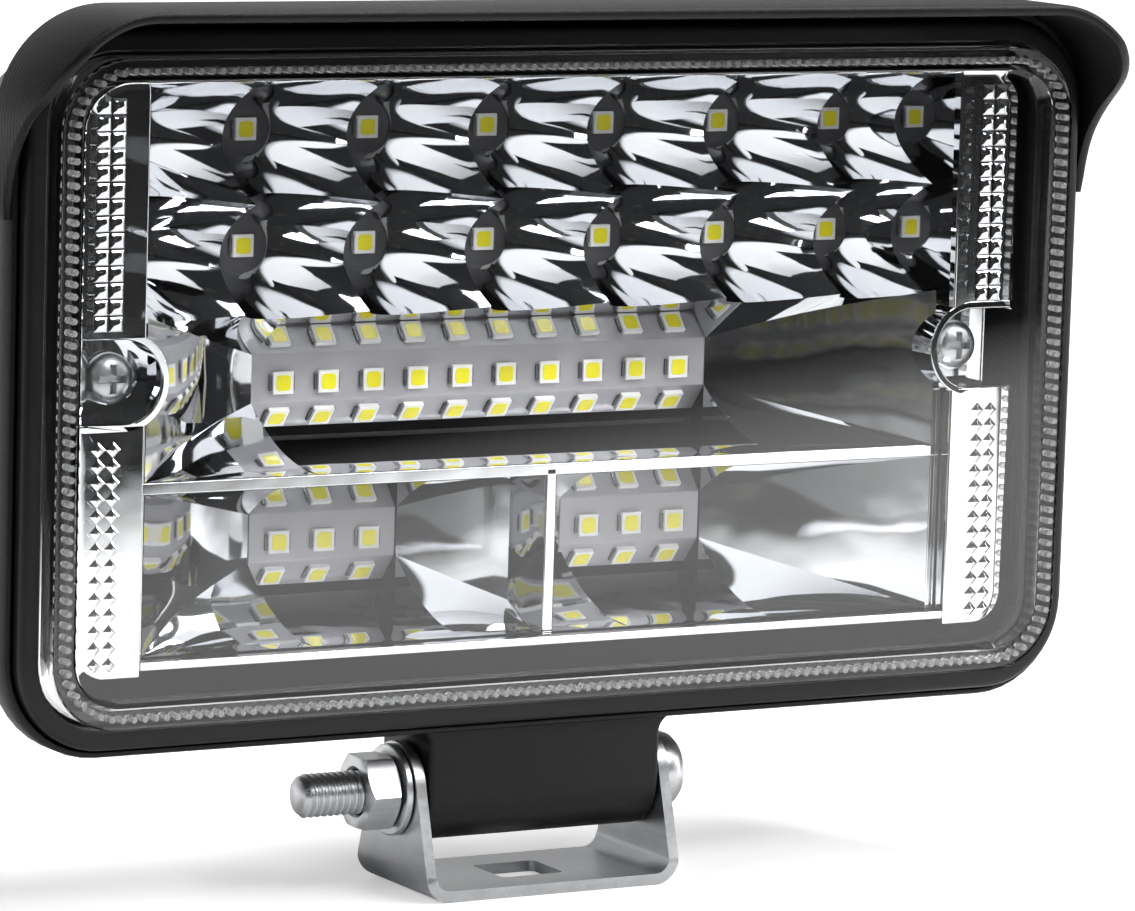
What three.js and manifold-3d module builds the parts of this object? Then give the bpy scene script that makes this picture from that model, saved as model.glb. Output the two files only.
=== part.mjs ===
// Rectangular LED fog lamp on a U-bracket.
//
// Millimetres, +Z up, the light shines along -Y.
// The origin is the centre of the bracket foot's underside.
// The lamp is drawn in its own frame: x to the right, y backwards from the front of the lens,
// z upwards from the middle of the lens.

import * as THREE from 'three';
import { mergeVertices } from 'three/addons/utils/BufferGeometryUtils.js';
import Module from 'manifold-3d';

const wasm = await Module();
wasm.setup();

// ---------------------------------------------------------------- driving dimensions

const GAP = 0.3;                 // clearance between pieces that meet
const ARC_STEPS = 3;             // fineness of drawn-out arcs
const ROUND_SIDES = 20;          // sides of a round rod

const LENS_HEIGHT = 70.4;        // middle of the lens above the foot
const BOLT_HEIGHT = 13.9;        // tilt bolt above the foot
const BOLT_SETBACK = 14;         // tilt bolt behind the front of the lens

const BRACKET = { plate: 1.5, inside: 36, depth: 20, bend: 3.6, legTopRadius: 6.5 };
const SLOT = { width: 9.6, depth: 8.6 };

const BOLT = { radius: 3, clearRadius: 3.3, tipX: -34, headRadius: 5.4, headLength: 3.8 };
const SOCKET = { radius: 2.9, depth: 2.2 };
const NUT = { acrossCorners: 11.05, length: 4.7 };
const WASHER = { radius: 6.2, thickness: 1 };

const LENS = { halfWidth: 76.6, halfHeight: 43.2, corner: 9.5, plate: 2.6, skirt: 2.4, depth: 6.2 };
const BEZEL = { halfWidth: 80, bottom: -46.3, top: 46.6, corner: 12, front: 3, back: 9.2 };
const LEDGE = { front: 8.2, halfWidth: 74.2, halfHeight: 41.4, corner: 7.4 };

const LIP = { halfWidth: 81.3, bottom: -47.5, top: 49.2, corner: 13.3, front: 5 };
const HOOD = { halfWidth: 82.5, top: 49.8, corner: 15, wall: 1.5, front: -9, peakBottom: 45 };
// The front edge of the hood's cheeks, as [y, z]: two curves, each with two handles and its end.
const CHEEK = [[-6.5, 38.5], [-2.5, 38], [1, 33.8], [3.2, 31.2], [4.2, 29.5], [5.2, 24]];
const BODY = { front: 9.5, back: 37, floor: 34 };
const BODY_FRONT = { halfWidth: 80.2, bottom: -46.4, top: 48, corner: 13 };
const BODY_BACK = { halfWidth: 72, bottom: -38.5, top: 41.5, corner: 12 };
const CAVITY_FRONT = { halfWidth: 74.6, bottom: -41.8, top: 43.4, corner: 8 };
const CAVITY_BACK = { halfWidth: 69, bottom: -35.6, top: 40.6, corner: 7 };

const BOSS = { halfWidth: 17.7, radius: 7, flare: 3 };
const FIN = { thickness: 2, pitch: 8.6, perSide: 8, back: 55, bottom: -33, top: 36, corner: 5, flare: 2 };
const SPINE = { halfWidth: 22, bottom: -32, top: 37, back: 43 };

const CUP = {
  columns: 7, pitch: 18.3, rowZ: [31.3, 15.7], focal4: 5.96, vertex: 32.2, hole: 3.7, back: 29.8,
};
const FRAME = { halfWidth: 71.2, bottom: -37.4, top: 39.5, corner: 4.5, front: 6.5, back: 8 };
const WINDOW = { halfWidth: 61.8, bottom: -35.4, top: 38.9 };
const WALL = 1.1;                // thickness of the reflector's walls
const BAY = { front: 9, neck: 16.7, back: 31.4 };
const WIDE_BAY = {
  front: { near: -60.4, far: 60.4, bottom: -12.3, top: 9.2 },
  back: { near: -36, far: 36, bottom: -10, top: 4.6 },
};
const SMALL_BAY = {
  front: { near: 0.8, far: 60.4, bottom: -35.2, top: -14 },
  neck: { near: 0.8, far: 51.5, bottom: -34, top: -15 },
  back: { near: 12.4, far: 36, bottom: -31.6, top: -17.2 },
};
const SIDE_SCREW = {
  x: 64.9, z: 1.2, pocketRadius: 6.6, pocketFloor: 12, headRadius: 3.4, headHeight: 2.2,
  radius: 1.45, tip: 24.5, clearRadius: 1.8, postRadius: 3.4, postHoleEnd: 26,
};

const LED = { size: 3, height: 0.7, pitch: 6.83 };
const BAR = { faceY: 28.9, faceHeight: 6.5, sideFace: 5, sideAngle: 38, board: 1.2 };
const BARS = [
  { name: 'wide', x: 0, z: -2.8, leds: 10, halfLength: 35.5 },
  { name: 'left', x: -24, z: -24.4, leds: 3, halfLength: 11.1 },
  { name: 'right', x: 24, z: -24.4, leds: 3, halfLength: 11.1 },
];
const CUP_BOARD = { front: 30.1, thickness: 1.5, halfWidth: 61.5, bottom: 7, top: 39.4 };

const DRIVER = { halfWidth: 17, bottom: 14, top: 32, board: 1.2, y: 38.4 };
const DRIVER_POCKET = { halfWidth: 20, bottom: 12, top: 34, back: 41 };
const DUCT = { halfWidth: 4, front: 35.2, back: 40 };
const LEAD = { radius: 0.75, y: 37.4, end: 42.6, bend: 2, spacing: 1.4 };
const GLAND = { z: -22, boreRadius: 3, threadRadius: 4.1, stubRadius: 5.6, hexRadius: 8, clearRadius: 12 };
const VENT = { x: 43, z: -23, padRadius: 8.5, capRadius: 6, threadRadius: 3.1, boreRadius: 1.2 };

// ---------------------------------------------------------------- materials

const material = (color, roughness, metalness, extra = {}) =>
  new THREE.MeshStandardMaterial({ color, roughness, metalness, ...extra });

const blackCasting = material(0x1c1d1f, 0.62, 0.1);
const blackPlastic = material(0x242527, 0.5, 0);
const clearLens = material(0xf4f8fa, 0.05, 0, { transparent: true, opacity: 0.25 });
const chrome = material(0xe8eaec, 0.08, 1);
const boardGrey = material(0xb4b4bb, 0.5, 0);
const circuitGreen = material(0x1f5a3a, 0.55, 0);
const rubber = material(0x18181a, 0.8, 0);
const zinc = material(0xc9cbcd, 0.32, 1);
const redWire = material(0xa01818, 0.5, 0);

// ---------------------------------------------------------------- solids

/** Turns a closed three.js geometry into a solid that can be joined and cut. */
function solid(geometry) {
  const bare = geometry.index ? geometry.toNonIndexed() : geometry.clone();
  bare.deleteAttribute('normal');
  bare.deleteAttribute('uv');
  const merged = mergeVertices(bare, 1e-4);
  return new wasm.Manifold(new wasm.Mesh({
    numProp: 3,
    vertProperties: new Float32Array(merged.attributes.position.array),
    triVerts: new Uint32Array(merged.index.array),
  }));
}

/** Makes a named mesh of a solid. */
function piece(name, shape, look) {
  const mesh = shape.getMesh();
  const geometry = new THREE.BufferGeometry();
  geometry.setAttribute('position', new THREE.BufferAttribute(mesh.vertProperties.slice(), 3));
  geometry.setIndex(new THREE.BufferAttribute(mesh.triVerts.slice(), 1));
  geometry.computeVertexNormals();
  const result = new THREE.Mesh(geometry, look);
  result.name = name;
  return result;
}

const join = (solids) => solids.reduce((whole, next) => whole.add(next));

/** A box between two corners. */
function box(x0, x1, y0, y1, z0, z1) {
  const geometry = new THREE.BoxGeometry(x1 - x0, y1 - y0, z1 - z0);
  geometry.translate((x0 + x1) / 2, (y0 + y1) / 2, (z0 + z1) / 2);
  return solid(geometry);
}

/** A cylinder, or prism of few sides, along y. */
function rod(x, z, radius, y0, y1, sides = ROUND_SIDES) {
  const geometry = new THREE.CylinderGeometry(radius, radius, y1 - y0, sides);
  geometry.translate(x, (y0 + y1) / 2, z);
  return solid(geometry);
}

/** A cylinder, or prism of few sides, along x. */
function axle(y, z, radius, x0, x1, sides = ROUND_SIDES) {
  const geometry = new THREE.CylinderGeometry(radius, radius, x1 - x0, sides);
  geometry.rotateZ(Math.PI / 2);
  geometry.translate((x0 + x1) / 2, y, z);
  return solid(geometry);
}

/** An x-z outline drawn out along y. */
function slab(shape, y0, y1, bevel = 0) {
  const geometry = new THREE.ExtrudeGeometry(shape, {
    depth: y1 - y0 - 2 * bevel,
    bevelEnabled: bevel > 0,
    bevelThickness: bevel,
    bevelSize: bevel,
    bevelOffset: -bevel,
    bevelSegments: 1,
    curveSegments: ARC_STEPS,
  });
  geometry.rotateX(Math.PI / 2);
  geometry.translate(0, y1 - bevel, 0);
  return solid(geometry);
}

/** A y-z outline drawn out along x. */
function sideSlab(shape, x0, x1) {
  const geometry = new THREE.ExtrudeGeometry(
    shape, { depth: x1 - x0, bevelEnabled: false, curveSegments: ARC_STEPS });
  geometry.rotateX(Math.PI / 2);
  geometry.rotateZ(Math.PI / 2);
  geometry.translate(x0, 0, 0);
  return solid(geometry);
}

/** A rectangle with round corners in x and z. */
function roundRect({ halfWidth: w, bottom, top, corner: r }) {
  const shape = new THREE.Shape();
  shape.moveTo(-w + r, bottom);
  shape.lineTo(w - r, bottom);
  shape.absarc(w - r, bottom + r, r, -Math.PI / 2, 0);
  shape.lineTo(w, top - r);
  shape.absarc(w - r, top - r, r, 0, Math.PI / 2);
  shape.lineTo(-w + r, top);
  shape.absarc(-w + r, top - r, r, Math.PI / 2, Math.PI);
  shape.lineTo(-w, bottom + r);
  shape.absarc(-w + r, bottom + r, r, Math.PI, 1.5 * Math.PI);
  return shape;
}

const centred = (part, grow = 0) => roundRect({
  halfWidth: part.halfWidth + grow,
  bottom: -part.halfHeight - grow,
  top: part.halfHeight + grow,
  corner: part.corner + grow,
});

/** Draws a round rectangle out along y while it changes evenly into another one. */
function taper(front, back, y0, y1) {
  const geometry = new THREE.ExtrudeGeometry(
    roundRect(front), { depth: y1 - y0, bevelEnabled: false, curveSegments: ARC_STEPS });
  geometry.rotateX(Math.PI / 2);
  geometry.translate(0, y1, 0);
  const middle = (part) => (part.top + part.bottom) / 2;
  const height = (part) => part.top - part.bottom;
  const position = geometry.attributes.position;
  for (let i = 0; i < position.count; i += 1) {
    const t = (position.getY(i) - y0) / (y1 - y0);
    const wide = 1 + t * (back.halfWidth / front.halfWidth - 1);
    const tall = 1 + t * (height(back) / height(front) - 1);
    const centre = middle(front) + t * (middle(back) - middle(front));
    position.setX(i, position.getX(i) * wide);
    position.setZ(i, (position.getZ(i) - middle(front)) * tall + centre);
  }
  return solid(geometry);
}

/** A funnel between two rectangles { x0, x1, z0, z1, y } in x and z. */
function funnel(front, back) {
  const geometry = new THREE.BoxGeometry(1, 1, 1);
  const position = geometry.attributes.position;
  for (let i = 0; i < position.count; i += 1) {
    const end = position.getY(i) < 0 ? front : back;
    position.setX(i, position.getX(i) < 0 ? end.x0 : end.x1);
    position.setZ(i, position.getZ(i) < 0 ? end.z0 : end.z1);
    position.setY(i, end.y);
  }
  return solid(geometry);
}

// ---------------------------------------------------------------- housing

const boltZ = BOLT_HEIGHT - LENS_HEIGHT;

/** The peak and side cheeks around the lens; the cheeks sweep back as they come down. */
function hood() {
  const outer = { halfWidth: HOOD.halfWidth, bottom: LIP.bottom, top: HOOD.top, corner: HOOD.corner };
  const inner = {
    halfWidth: HOOD.halfWidth - HOOD.wall,
    bottom: LIP.bottom - 5,
    top: HOOD.top - HOOD.wall,
    corner: HOOD.corner - HOOD.wall,
  };
  const shell = slab(roundRect(outer), HOOD.front, LIP.front + 3).subtract(
    slab(roundRect(inner), HOOD.front - 1, LIP.front + 4));
  const sweep = new THREE.Shape();
  sweep.moveTo(HOOD.front - 2, HOOD.peakBottom);
  sweep.lineTo(HOOD.front, HOOD.peakBottom);
  sweep.bezierCurveTo(...CHEEK[0], ...CHEEK[1], ...CHEEK[2]);
  sweep.bezierCurveTo(...CHEEK[3], ...CHEEK[4], ...CHEEK[5]);
  sweep.lineTo(LIP.front + 4, CHEEK[5][1] - 2);
  sweep.lineTo(LIP.front + 4, LIP.bottom - 2);
  sweep.lineTo(HOOD.front - 2, LIP.bottom - 2);
  return shell.subtract(sideSlab(sweep, -HOOD.halfWidth - 1, HOOD.halfWidth + 1));
}

/** The pivot barrel under the housing, with the fillets that widen it into the flange. */
function boss() {
  const { halfWidth: w, radius, flare } = BOSS;
  const top = LIP.bottom + 4;
  const web = new THREE.Shape();
  web.moveTo(-w, boltZ);
  web.lineTo(w, boltZ);
  web.lineTo(w, LIP.bottom - flare);
  web.absarc(w + flare, LIP.bottom - flare, flare, Math.PI, Math.PI / 2, true);
  web.lineTo(w + flare, top);
  web.lineTo(-w - flare, top);
  web.lineTo(-w - flare, LIP.bottom);
  web.absarc(-w - flare, LIP.bottom - flare, flare, Math.PI / 2, 0, true);
  const front = BOLT_SETBACK - radius;
  return slab(web, front, BOLT_SETBACK + radius)
    .add(axle(BOLT_SETBACK, boltZ, radius, -w, w, 32))
    .subtract(axle(BOLT_SETBACK, boltZ, BOLT.clearRadius, -w - 1, w + 1));
}

/** One cooling fin on the back, wider at its root. */
function fin(x) {
  const { back, bottom, top, corner, flare, thickness } = FIN;
  const root = BODY.back - 0.5;
  const shape = new THREE.Shape();
  shape.moveTo(root, bottom - flare);
  shape.lineTo(back - corner, bottom);
  shape.absarc(back - corner, bottom + corner, corner, -Math.PI / 2, 0);
  shape.lineTo(back, top - corner);
  shape.absarc(back - corner, top - corner, corner, 0, Math.PI / 2);
  shape.lineTo(root, top + flare);
  return sideSlab(shape, x - thickness / 2, x + thickness / 2);
}

/** The ridge that a folded light bar lies on. */
function ridge(bar) {
  const angle = THREE.MathUtils.degToRad(BAR.sideAngle);
  const back = BAR.faceY + BAR.board + GAP;
  const half = BAR.faceHeight / 2 - 0.5;
  const reach = BODY.floor + 0.5 - back;
  const rise = reach / Math.tan(angle);
  const shape = new THREE.Shape();
  shape.moveTo(back, bar.z - half);
  shape.lineTo(back + reach, bar.z - half - rise);
  shape.lineTo(back + reach, bar.z + half + rise);
  shape.lineTo(back, bar.z + half);
  return sideSlab(shape, bar.x - bar.halfLength, bar.x + bar.halfLength);
}

function housing() {
  const lip = slab(roundRect(LIP), LIP.front, BODY.front + 0.5);
  const bezelSeat = slab(roundRect({
    halfWidth: BEZEL.halfWidth + GAP,
    bottom: BEZEL.bottom - GAP,
    top: BEZEL.top + GAP,
    corner: BEZEL.corner + GAP,
  }), HOOD.front, BODY.front);
  const body = taper(BODY_FRONT, BODY_BACK, BODY.front, BODY.back);
  const spine = box(
    -SPINE.halfWidth, SPINE.halfWidth, BODY.back - 1, SPINE.back, SPINE.bottom, SPINE.top);
  const ventPad = rod(VENT.x, VENT.z, VENT.padRadius, BODY.back - 1, SPINE.back);
  const fins = [];
  for (let i = -FIN.perSide; i <= FIN.perSide; i += 1) {
    fins.push(fin(i * FIN.pitch));
  }
  const ribs = join(fins)
    .subtract(rod(0, GLAND.z, GLAND.clearRadius, SPINE.back, FIN.back + 1))
    .subtract(rod(VENT.x, VENT.z, VENT.padRadius, SPINE.back, FIN.back + 1));
  const outside = join([lip, body, hood(), boss(), spine, ventPad, ribs]);

  const cavity = taper(CAVITY_FRONT, CAVITY_BACK, BODY.front - 0.5, BODY.floor);
  const driverPocket = box(
    -DRIVER_POCKET.halfWidth, DRIVER_POCKET.halfWidth, BODY.floor - 5, DRIVER_POCKET.back,
    DRIVER_POCKET.bottom, DRIVER_POCKET.top);
  const wireDuct = box(
    -DUCT.halfWidth, DUCT.halfWidth, DUCT.front, DUCT.back, GLAND.z - 4, DRIVER_POCKET.bottom + 1);
  const glandHole = rod(0, GLAND.z, GLAND.threadRadius + GAP, DUCT.back - 1, SPINE.back + 1);
  const ventHole = rod(VENT.x, VENT.z, VENT.threadRadius + GAP, BODY.floor - 1, SPINE.back + 1, 16);
  const hollow = outside.subtract(join([cavity, bezelSeat, wireDuct, glandHole, ventHole]));

  const cupPad = box(
    -CUP_BOARD.halfWidth + 1.5, CUP_BOARD.halfWidth - 1.5,
    CUP_BOARD.front + CUP_BOARD.thickness + GAP, BODY.floor + 0.5, CUP_BOARD.bottom + 1, CUP_BOARD.top);
  const { x, z, pocketFloor, clearRadius, postRadius, postHoleEnd } = SIDE_SCREW;
  const posts = [-1, 1].map((side) =>
    rod(side * x, z, postRadius, pocketFloor + WALL + GAP, BODY.floor + 0.5, 16));
  const postHoles = [-1, 1].map((side) =>
    rod(side * x, z, clearRadius, pocketFloor, postHoleEnd, 12));
  return join([hollow, cupPad, ...posts, ...BARS.map(ridge)])
    .subtract(join([driverPocket, ...postHoles]));
}

// ---------------------------------------------------------------- front

function bezel() {
  const ring = slab(roundRect(BEZEL), BEZEL.front, BEZEL.back, 1);
  const seat = slab(centred(LENS, 0.5), BEZEL.front - 1, LEDGE.front);
  const view = slab(centred(LEDGE), BEZEL.front - 1, BEZEL.back + 1);
  return ring.subtract(seat.add(view));
}

function lens() {
  const cover = slab(centred(LENS), 0, LENS.depth);
  const inside = slab(centred(LENS, -LENS.skirt), LENS.plate, LENS.depth + 1);
  return cover.subtract(inside);
}

function gasket() {
  const back = LEDGE.front - GAP;
  const front = LENS.depth + GAP;
  const middle = slab(centred(LENS, -LENS.skirt), front - 1, back + 1);
  return slab(centred(LENS), front, back).subtract(middle);
}

// ---------------------------------------------------------------- reflector

/** A parabolic cup about y: open towards -y, narrow at the light source. */
function cup(x, z, grow, sides, rings) {
  const wide = FRAME.front - 1;
  const deep = CUP.back;
  const radiusAt = (y) => Math.sqrt(CUP.focal4 * (CUP.vertex - y)) + grow;
  const profile = [new THREE.Vector2(0, wide)];
  for (let i = 0; i <= rings; i += 1) {
    const t = i / rings;
    const y = wide + (deep - wide) * (1 - (1 - t) * (1 - t));
    profile.push(new THREE.Vector2(radiusAt(y), y));
  }
  profile.push(new THREE.Vector2(0, deep));
  const geometry = new THREE.LatheGeometry(profile, sides);
  geometry.translate(x, 0, z);
  return solid(geometry);
}

function cupPlaces() {
  const places = [];
  for (const z of CUP.rowZ) {
    for (let i = 0; i < CUP.columns; i += 1) {
      places.push({ x: (i - (CUP.columns - 1) / 2) * CUP.pitch, z });
    }
  }
  return places;
}

/** The rectangle of a trough at one depth, on one side of the middle, grown by a wall or not. */
function trough(part, y, side, grow) {
  const near = side * (part.near - grow);
  const far = side * (part.far + grow);
  return {
    x0: Math.min(near, far),
    x1: Math.max(near, far),
    z0: part.bottom - grow,
    z1: part.top + grow,
    y,
  };
}

/** The three light troughs: the wide one under the cups and two small ones side by side. */
function bays(grow) {
  const y0 = BAY.front - (grow > 0 ? 0 : 3);
  const y1 = BAY.back + (grow > 0 ? 0 : 1);
  const wide = funnel(trough(WIDE_BAY.front, y0, 1, grow), trough(WIDE_BAY.back, y1, 1, grow));
  const small = [-1, 1].map((side) => {
    const { front, neck, back } = SMALL_BAY;
    const outer = funnel(trough(front, y0, side, grow), trough(neck, BAY.neck, side, grow));
    const inner = funnel(trough(neck, BAY.neck - 0.01, side, grow), trough(back, y1, side, grow));
    return outer.add(inner);
  });
  return join([wide, ...small]);
}

/** A side pocket for a fixing screw: round towards the middle, open to the outside. */
function pocket(side, radius, y0, y1) {
  const x = side * SIDE_SCREW.x;
  const reach = side * (FRAME.halfWidth + 1);
  return rod(x, SIDE_SCREW.z, radius, y0, y1, 20).add(
    box(Math.min(x, reach), Math.max(x, reach), y0, y1, SIDE_SCREW.z - radius, SIDE_SCREW.z + radius));
}

/** The round holes at the bottoms of the cups. */
function rearHoles(places) {
  return join(places.map(({ x, z }) => rod(x, z, CUP.hole, CUP.back - 1, CUP.back + 1, 12)));
}

function reflector() {
  const { halfWidth, bottom, top } = WINDOW;
  const cupBottom = 3;
  const flange = slab(roundRect(FRAME), FRAME.front, FRAME.back);
  const window = box(-halfWidth, halfWidth, FRAME.front - 1, BAY.front, bottom, top);
  const wall = box(
    -halfWidth - WALL, halfWidth + WALL, FRAME.front + 0.5, BAY.front + 2, bottom - WALL, top + 0.5);
  const cupBox = box(-halfWidth, halfWidth, FRAME.front - 1, CUP.back + 1, cupBottom, top);
  const cupShellBox = box(
    -halfWidth - WALL, halfWidth + WALL, FRAME.front, CUP.back, cupBottom, top + 1);

  const places = cupPlaces();
  const cupShells = join(places.map(({ x, z }) => cup(x, z, WALL, 10, 2))).intersect(cupShellBox);
  const endWalls = join([-1, 1].map((side) => {
    const x = side * (halfWidth + WALL / 2);
    return box(x - WALL / 2, x + WALL / 2, FRAME.front, 24, cupBottom + 5, top + 0.5);
  }));
  const cupHollows = join(places.map(({ x, z }) => cup(x, z, 0, 16, 4))).intersect(cupBox);

  const { pocketRadius, pocketFloor, clearRadius } = SIDE_SCREW;
  const pocketShells = join([-1, 1].map((side) =>
    pocket(side, pocketRadius, FRAME.front, pocketFloor + WALL)));
  const pocketHollows = join([-1, 1].map((side) =>
    pocket(side, pocketRadius - WALL, FRAME.front - 1, pocketFloor)));
  const screwHoles = join([-1, 1].map((side) =>
    rod(side * SIDE_SCREW.x, SIDE_SCREW.z, clearRadius, FRAME.front, pocketFloor + 3, 12)));
  const trim = box(
    -FRAME.halfWidth, FRAME.halfWidth, FRAME.front, BAY.back + 1, FRAME.bottom, top + 1);

  const shell = join([flange, wall, cupShells, endWalls, bays(WALL), pocketShells]).intersect(trim);
  const openings = join([window, bays(0), cupHollows]).subtract(pocketShells);
  return shell.subtract(openings).subtract(join([pocketHollows, screwHoles, rearHoles(places)]));
}

/** A pan-head screw with a cross recess, along y. */
function reflectorScrew(side) {
  const { z, headRadius, headHeight, radius, tip } = SIDE_SCREW;
  const x = side * SIDE_SCREW.x;
  const seat = SIDE_SCREW.pocketFloor - GAP;
  const top = seat - headHeight;
  const profile = [
    [0, top],
    [0.6 * headRadius, top + 0.07 * headHeight],
    [0.9 * headRadius, top + 0.32 * headHeight],
    [headRadius, top + 0.64 * headHeight],
    [headRadius, seat],
    [radius, seat],
    [radius, tip - radius],
    [0, tip],
  ].map(([r, y]) => new THREE.Vector2(r, y));
  const head = solid(new THREE.LatheGeometry(profile, ROUND_SIDES).translate(x, 0, z));
  const long = 1.8;
  const thin = 0.4;
  const deep = top + 1.2;
  const cross = box(x - long, x + long, top - 1, deep, z - thin, z + thin).add(
    box(x - thin, x + thin, top - 1, deep, z - long, z + long));
  return head.subtract(cross);
}

// ---------------------------------------------------------------- light sources

/** A light-emitting package, sunk a little into the board face it stands on. */
function ledPackage() {
  const sunk = 0.2;
  const height = LED.height + sunk;
  return new THREE.BoxGeometry(LED.size, height, LED.size).translate(0, sunk - height / 2, 0);
}

/** A bar of three board faces folded around a ridge, each face with a row of lights. */
function lightBar(bar) {
  const angle = THREE.MathUtils.degToRad(BAR.sideAngle);
  const half = BAR.faceHeight / 2;
  const outline = (inset) => {
    const face = BAR.faceY + inset;
    const edge = half - inset * Math.tan(angle / 2);
    const run = BAR.sideFace * Math.sin(angle);
    const rise = BAR.sideFace * Math.cos(angle);
    return [[face, edge], [face + run, edge + rise]];
  };
  const front = outline(0);
  const back = outline(BAR.board);
  const points = [
    front[1], front[0], [front[0][0], -front[0][1]], [front[1][0], -front[1][1]],
    [back[1][0], -back[1][1]], [back[0][0], -back[0][1]], back[0], back[1],
  ].map(([y, z]) => new THREE.Vector2(y, bar.z + z));
  const parts = [sideSlab(new THREE.Shape(points), bar.x - bar.halfLength, bar.x + bar.halfLength)];
  const sideY = BAR.faceY + (BAR.sideFace / 2) * Math.sin(angle);
  const sideZ = half + (BAR.sideFace / 2) * Math.cos(angle);
  const rows = [
    { turn: 0, y: BAR.faceY, z: bar.z },
    { turn: -angle, y: sideY, z: bar.z + sideZ },
    { turn: angle, y: sideY, z: bar.z - sideZ },
  ];
  for (const row of rows) {
    for (let i = 0; i < bar.leds; i += 1) {
      const x = bar.x + (i - (bar.leds - 1) / 2) * LED.pitch;
      parts.push(solid(ledPackage().rotateX(row.turn).translate(x, row.y, row.z)));
    }
  }
  return join(parts);
}

function cupBoard() {
  const { front, thickness, halfWidth, bottom, top } = CUP_BOARD;
  const board = box(-halfWidth, halfWidth, front, front + thickness, bottom, top);
  const lights = cupPlaces().map(({ x, z }) => solid(ledPackage().translate(x, front, z)));
  return join([board, ...lights]);
}

/** The driver board with its choke, chip, bridge and capacitor standing towards the front. */
function driverBoard() {
  const { halfWidth, bottom, top, board, y } = DRIVER;
  const root = y + 0.1;
  const plate = box(-halfWidth, halfWidth, y, y + board, bottom, top);
  const choke = rod(-9, 25, 4, y - 4, root, 16);
  const chip = box(-1, 6, y - 1.6, root, 20, 25);
  const bridge = box(9, 14, y - 2.5, root, 17, 22);
  const capacitor = rod(11, 27.5, 2.6, y - 5, root, 14);
  return join([plate, choke, chip, bridge, capacitor]);
}

/** A supply lead from the cable gland up the duct to the driver board. */
function lead(x) {
  const { radius, y, end, bend } = LEAD;
  const at = (depth, height) => new THREE.Vector3(x, depth, height);
  const turn = [at(y + bend, GLAND.z), at(y, GLAND.z), at(y, GLAND.z + bend)];
  const path = new THREE.CurvePath();
  path.add(new THREE.LineCurve3(at(end, GLAND.z), turn[0]));
  path.add(new THREE.QuadraticBezierCurve3(...turn));
  path.add(new THREE.LineCurve3(turn[2], at(y, DRIVER.bottom + 3)));
  const section = new THREE.Shape().absarc(0, 0, radius, 0, 2 * Math.PI);
  return solid(new THREE.ExtrudeGeometry(section, { steps: 24, curveSegments: 4, extrudePath: path }));
}

// ---------------------------------------------------------------- cable gland and vent

function glandBody() {
  const seat = SPINE.back + GAP;
  const hexEnd = seat + 4;
  const stubEnd = seat + 9;
  return rod(0, GLAND.z, GLAND.threadRadius, seat - 2.3, seat + 0.1)
    .add(rod(0, GLAND.z, GLAND.hexRadius, seat, hexEnd, 6))
    .add(rod(0, GLAND.z, GLAND.stubRadius, hexEnd - 0.1, stubEnd))
    .subtract(rod(0, GLAND.z, GLAND.boreRadius, seat - 3, stubEnd + 1));
}

/** The clamping nut, necked in around the cable. */
function glandNut() {
  const front = SPINE.back + 4 + 2 * GAP;
  const outside = GLAND.hexRadius - 0.4;
  const inside = GLAND.stubRadius + GAP;
  const mouth = GLAND.boreRadius + 0.4;
  const profile = [
    [inside, front],
    [outside, front],
    [outside, front + 6.5],
    [6.2, front + 9.6],
    [mouth, front + 10.4],
    [mouth, front + 8.6],
    [inside, front + 8.2],
    [inside, front],
  ].map(([r, y]) => new THREE.Vector2(r, y));
  return solid(new THREE.LatheGeometry(profile, 24).translate(0, 0, GLAND.z));
}

function glandSeal() {
  const front = SPINE.back + 9 + 2 * GAP;
  return rod(0, GLAND.z, GLAND.stubRadius - 0.2, front, front + 2.4).subtract(
    rod(0, GLAND.z, GLAND.boreRadius - GAP, front - 1, front + 4));
}

function ventPlug() {
  const seat = SPINE.back + GAP;
  const top = seat + 2.6;
  return rod(VENT.x, VENT.z, VENT.threadRadius, seat - 7.3, seat + 0.1, 16)
    .add(rod(VENT.x, VENT.z, VENT.capRadius, seat, top))
    .subtract(rod(VENT.x, VENT.z, VENT.boreRadius, seat - 8, top - 0.6, 10));
}

// ---------------------------------------------------------------- bracket and pivot bolt

function bracket() {
  const { plate, inside, depth, bend, legTopRadius } = BRACKET;
  const w = inside / 2 + plate;
  const top = BOLT_HEIGHT + legTopRadius;
  const profile = new THREE.Shape();
  profile.moveTo(-w, top);
  profile.lineTo(-w, bend);
  profile.absarc(-w + bend, bend, bend, Math.PI, 1.5 * Math.PI);
  profile.lineTo(w - bend, 0);
  profile.absarc(w - bend, bend, bend, 1.5 * Math.PI, 2 * Math.PI);
  profile.lineTo(w, top);
  profile.lineTo(w - plate, top);
  profile.lineTo(w - plate, bend);
  profile.absarc(w - bend, bend, bend - plate, 2 * Math.PI, 1.5 * Math.PI, true);
  profile.lineTo(-w + bend, plate);
  profile.absarc(-w + bend, bend, bend - plate, 1.5 * Math.PI, Math.PI, true);
  profile.lineTo(-w + plate, top);
  const strip = slab(profile, -depth / 2, depth / 2);

  const shoulder = 3;
  const lean = Math.atan2(depth / 2 - legTopRadius, BOLT_HEIGHT - shoulder);
  const leg = new THREE.Shape();
  leg.moveTo(-depth / 2, -1);
  leg.lineTo(depth / 2, -1);
  leg.lineTo(depth / 2, shoulder);
  leg.absarc(0, BOLT_HEIGHT, legTopRadius, lean / 2, Math.PI - lean / 2);
  leg.lineTo(-depth / 2, shoulder);
  const blank = strip.intersect(sideSlab(leg, -w - 1, w + 1));

  const slot = box(-SLOT.width / 2, SLOT.width / 2, -SLOT.depth / 2, SLOT.depth / 2, -1, plate + 1);
  return blank.subtract(slot).subtract(axle(0, BOLT_HEIGHT, BOLT.clearRadius, -w - 1, w + 1));
}

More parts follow.
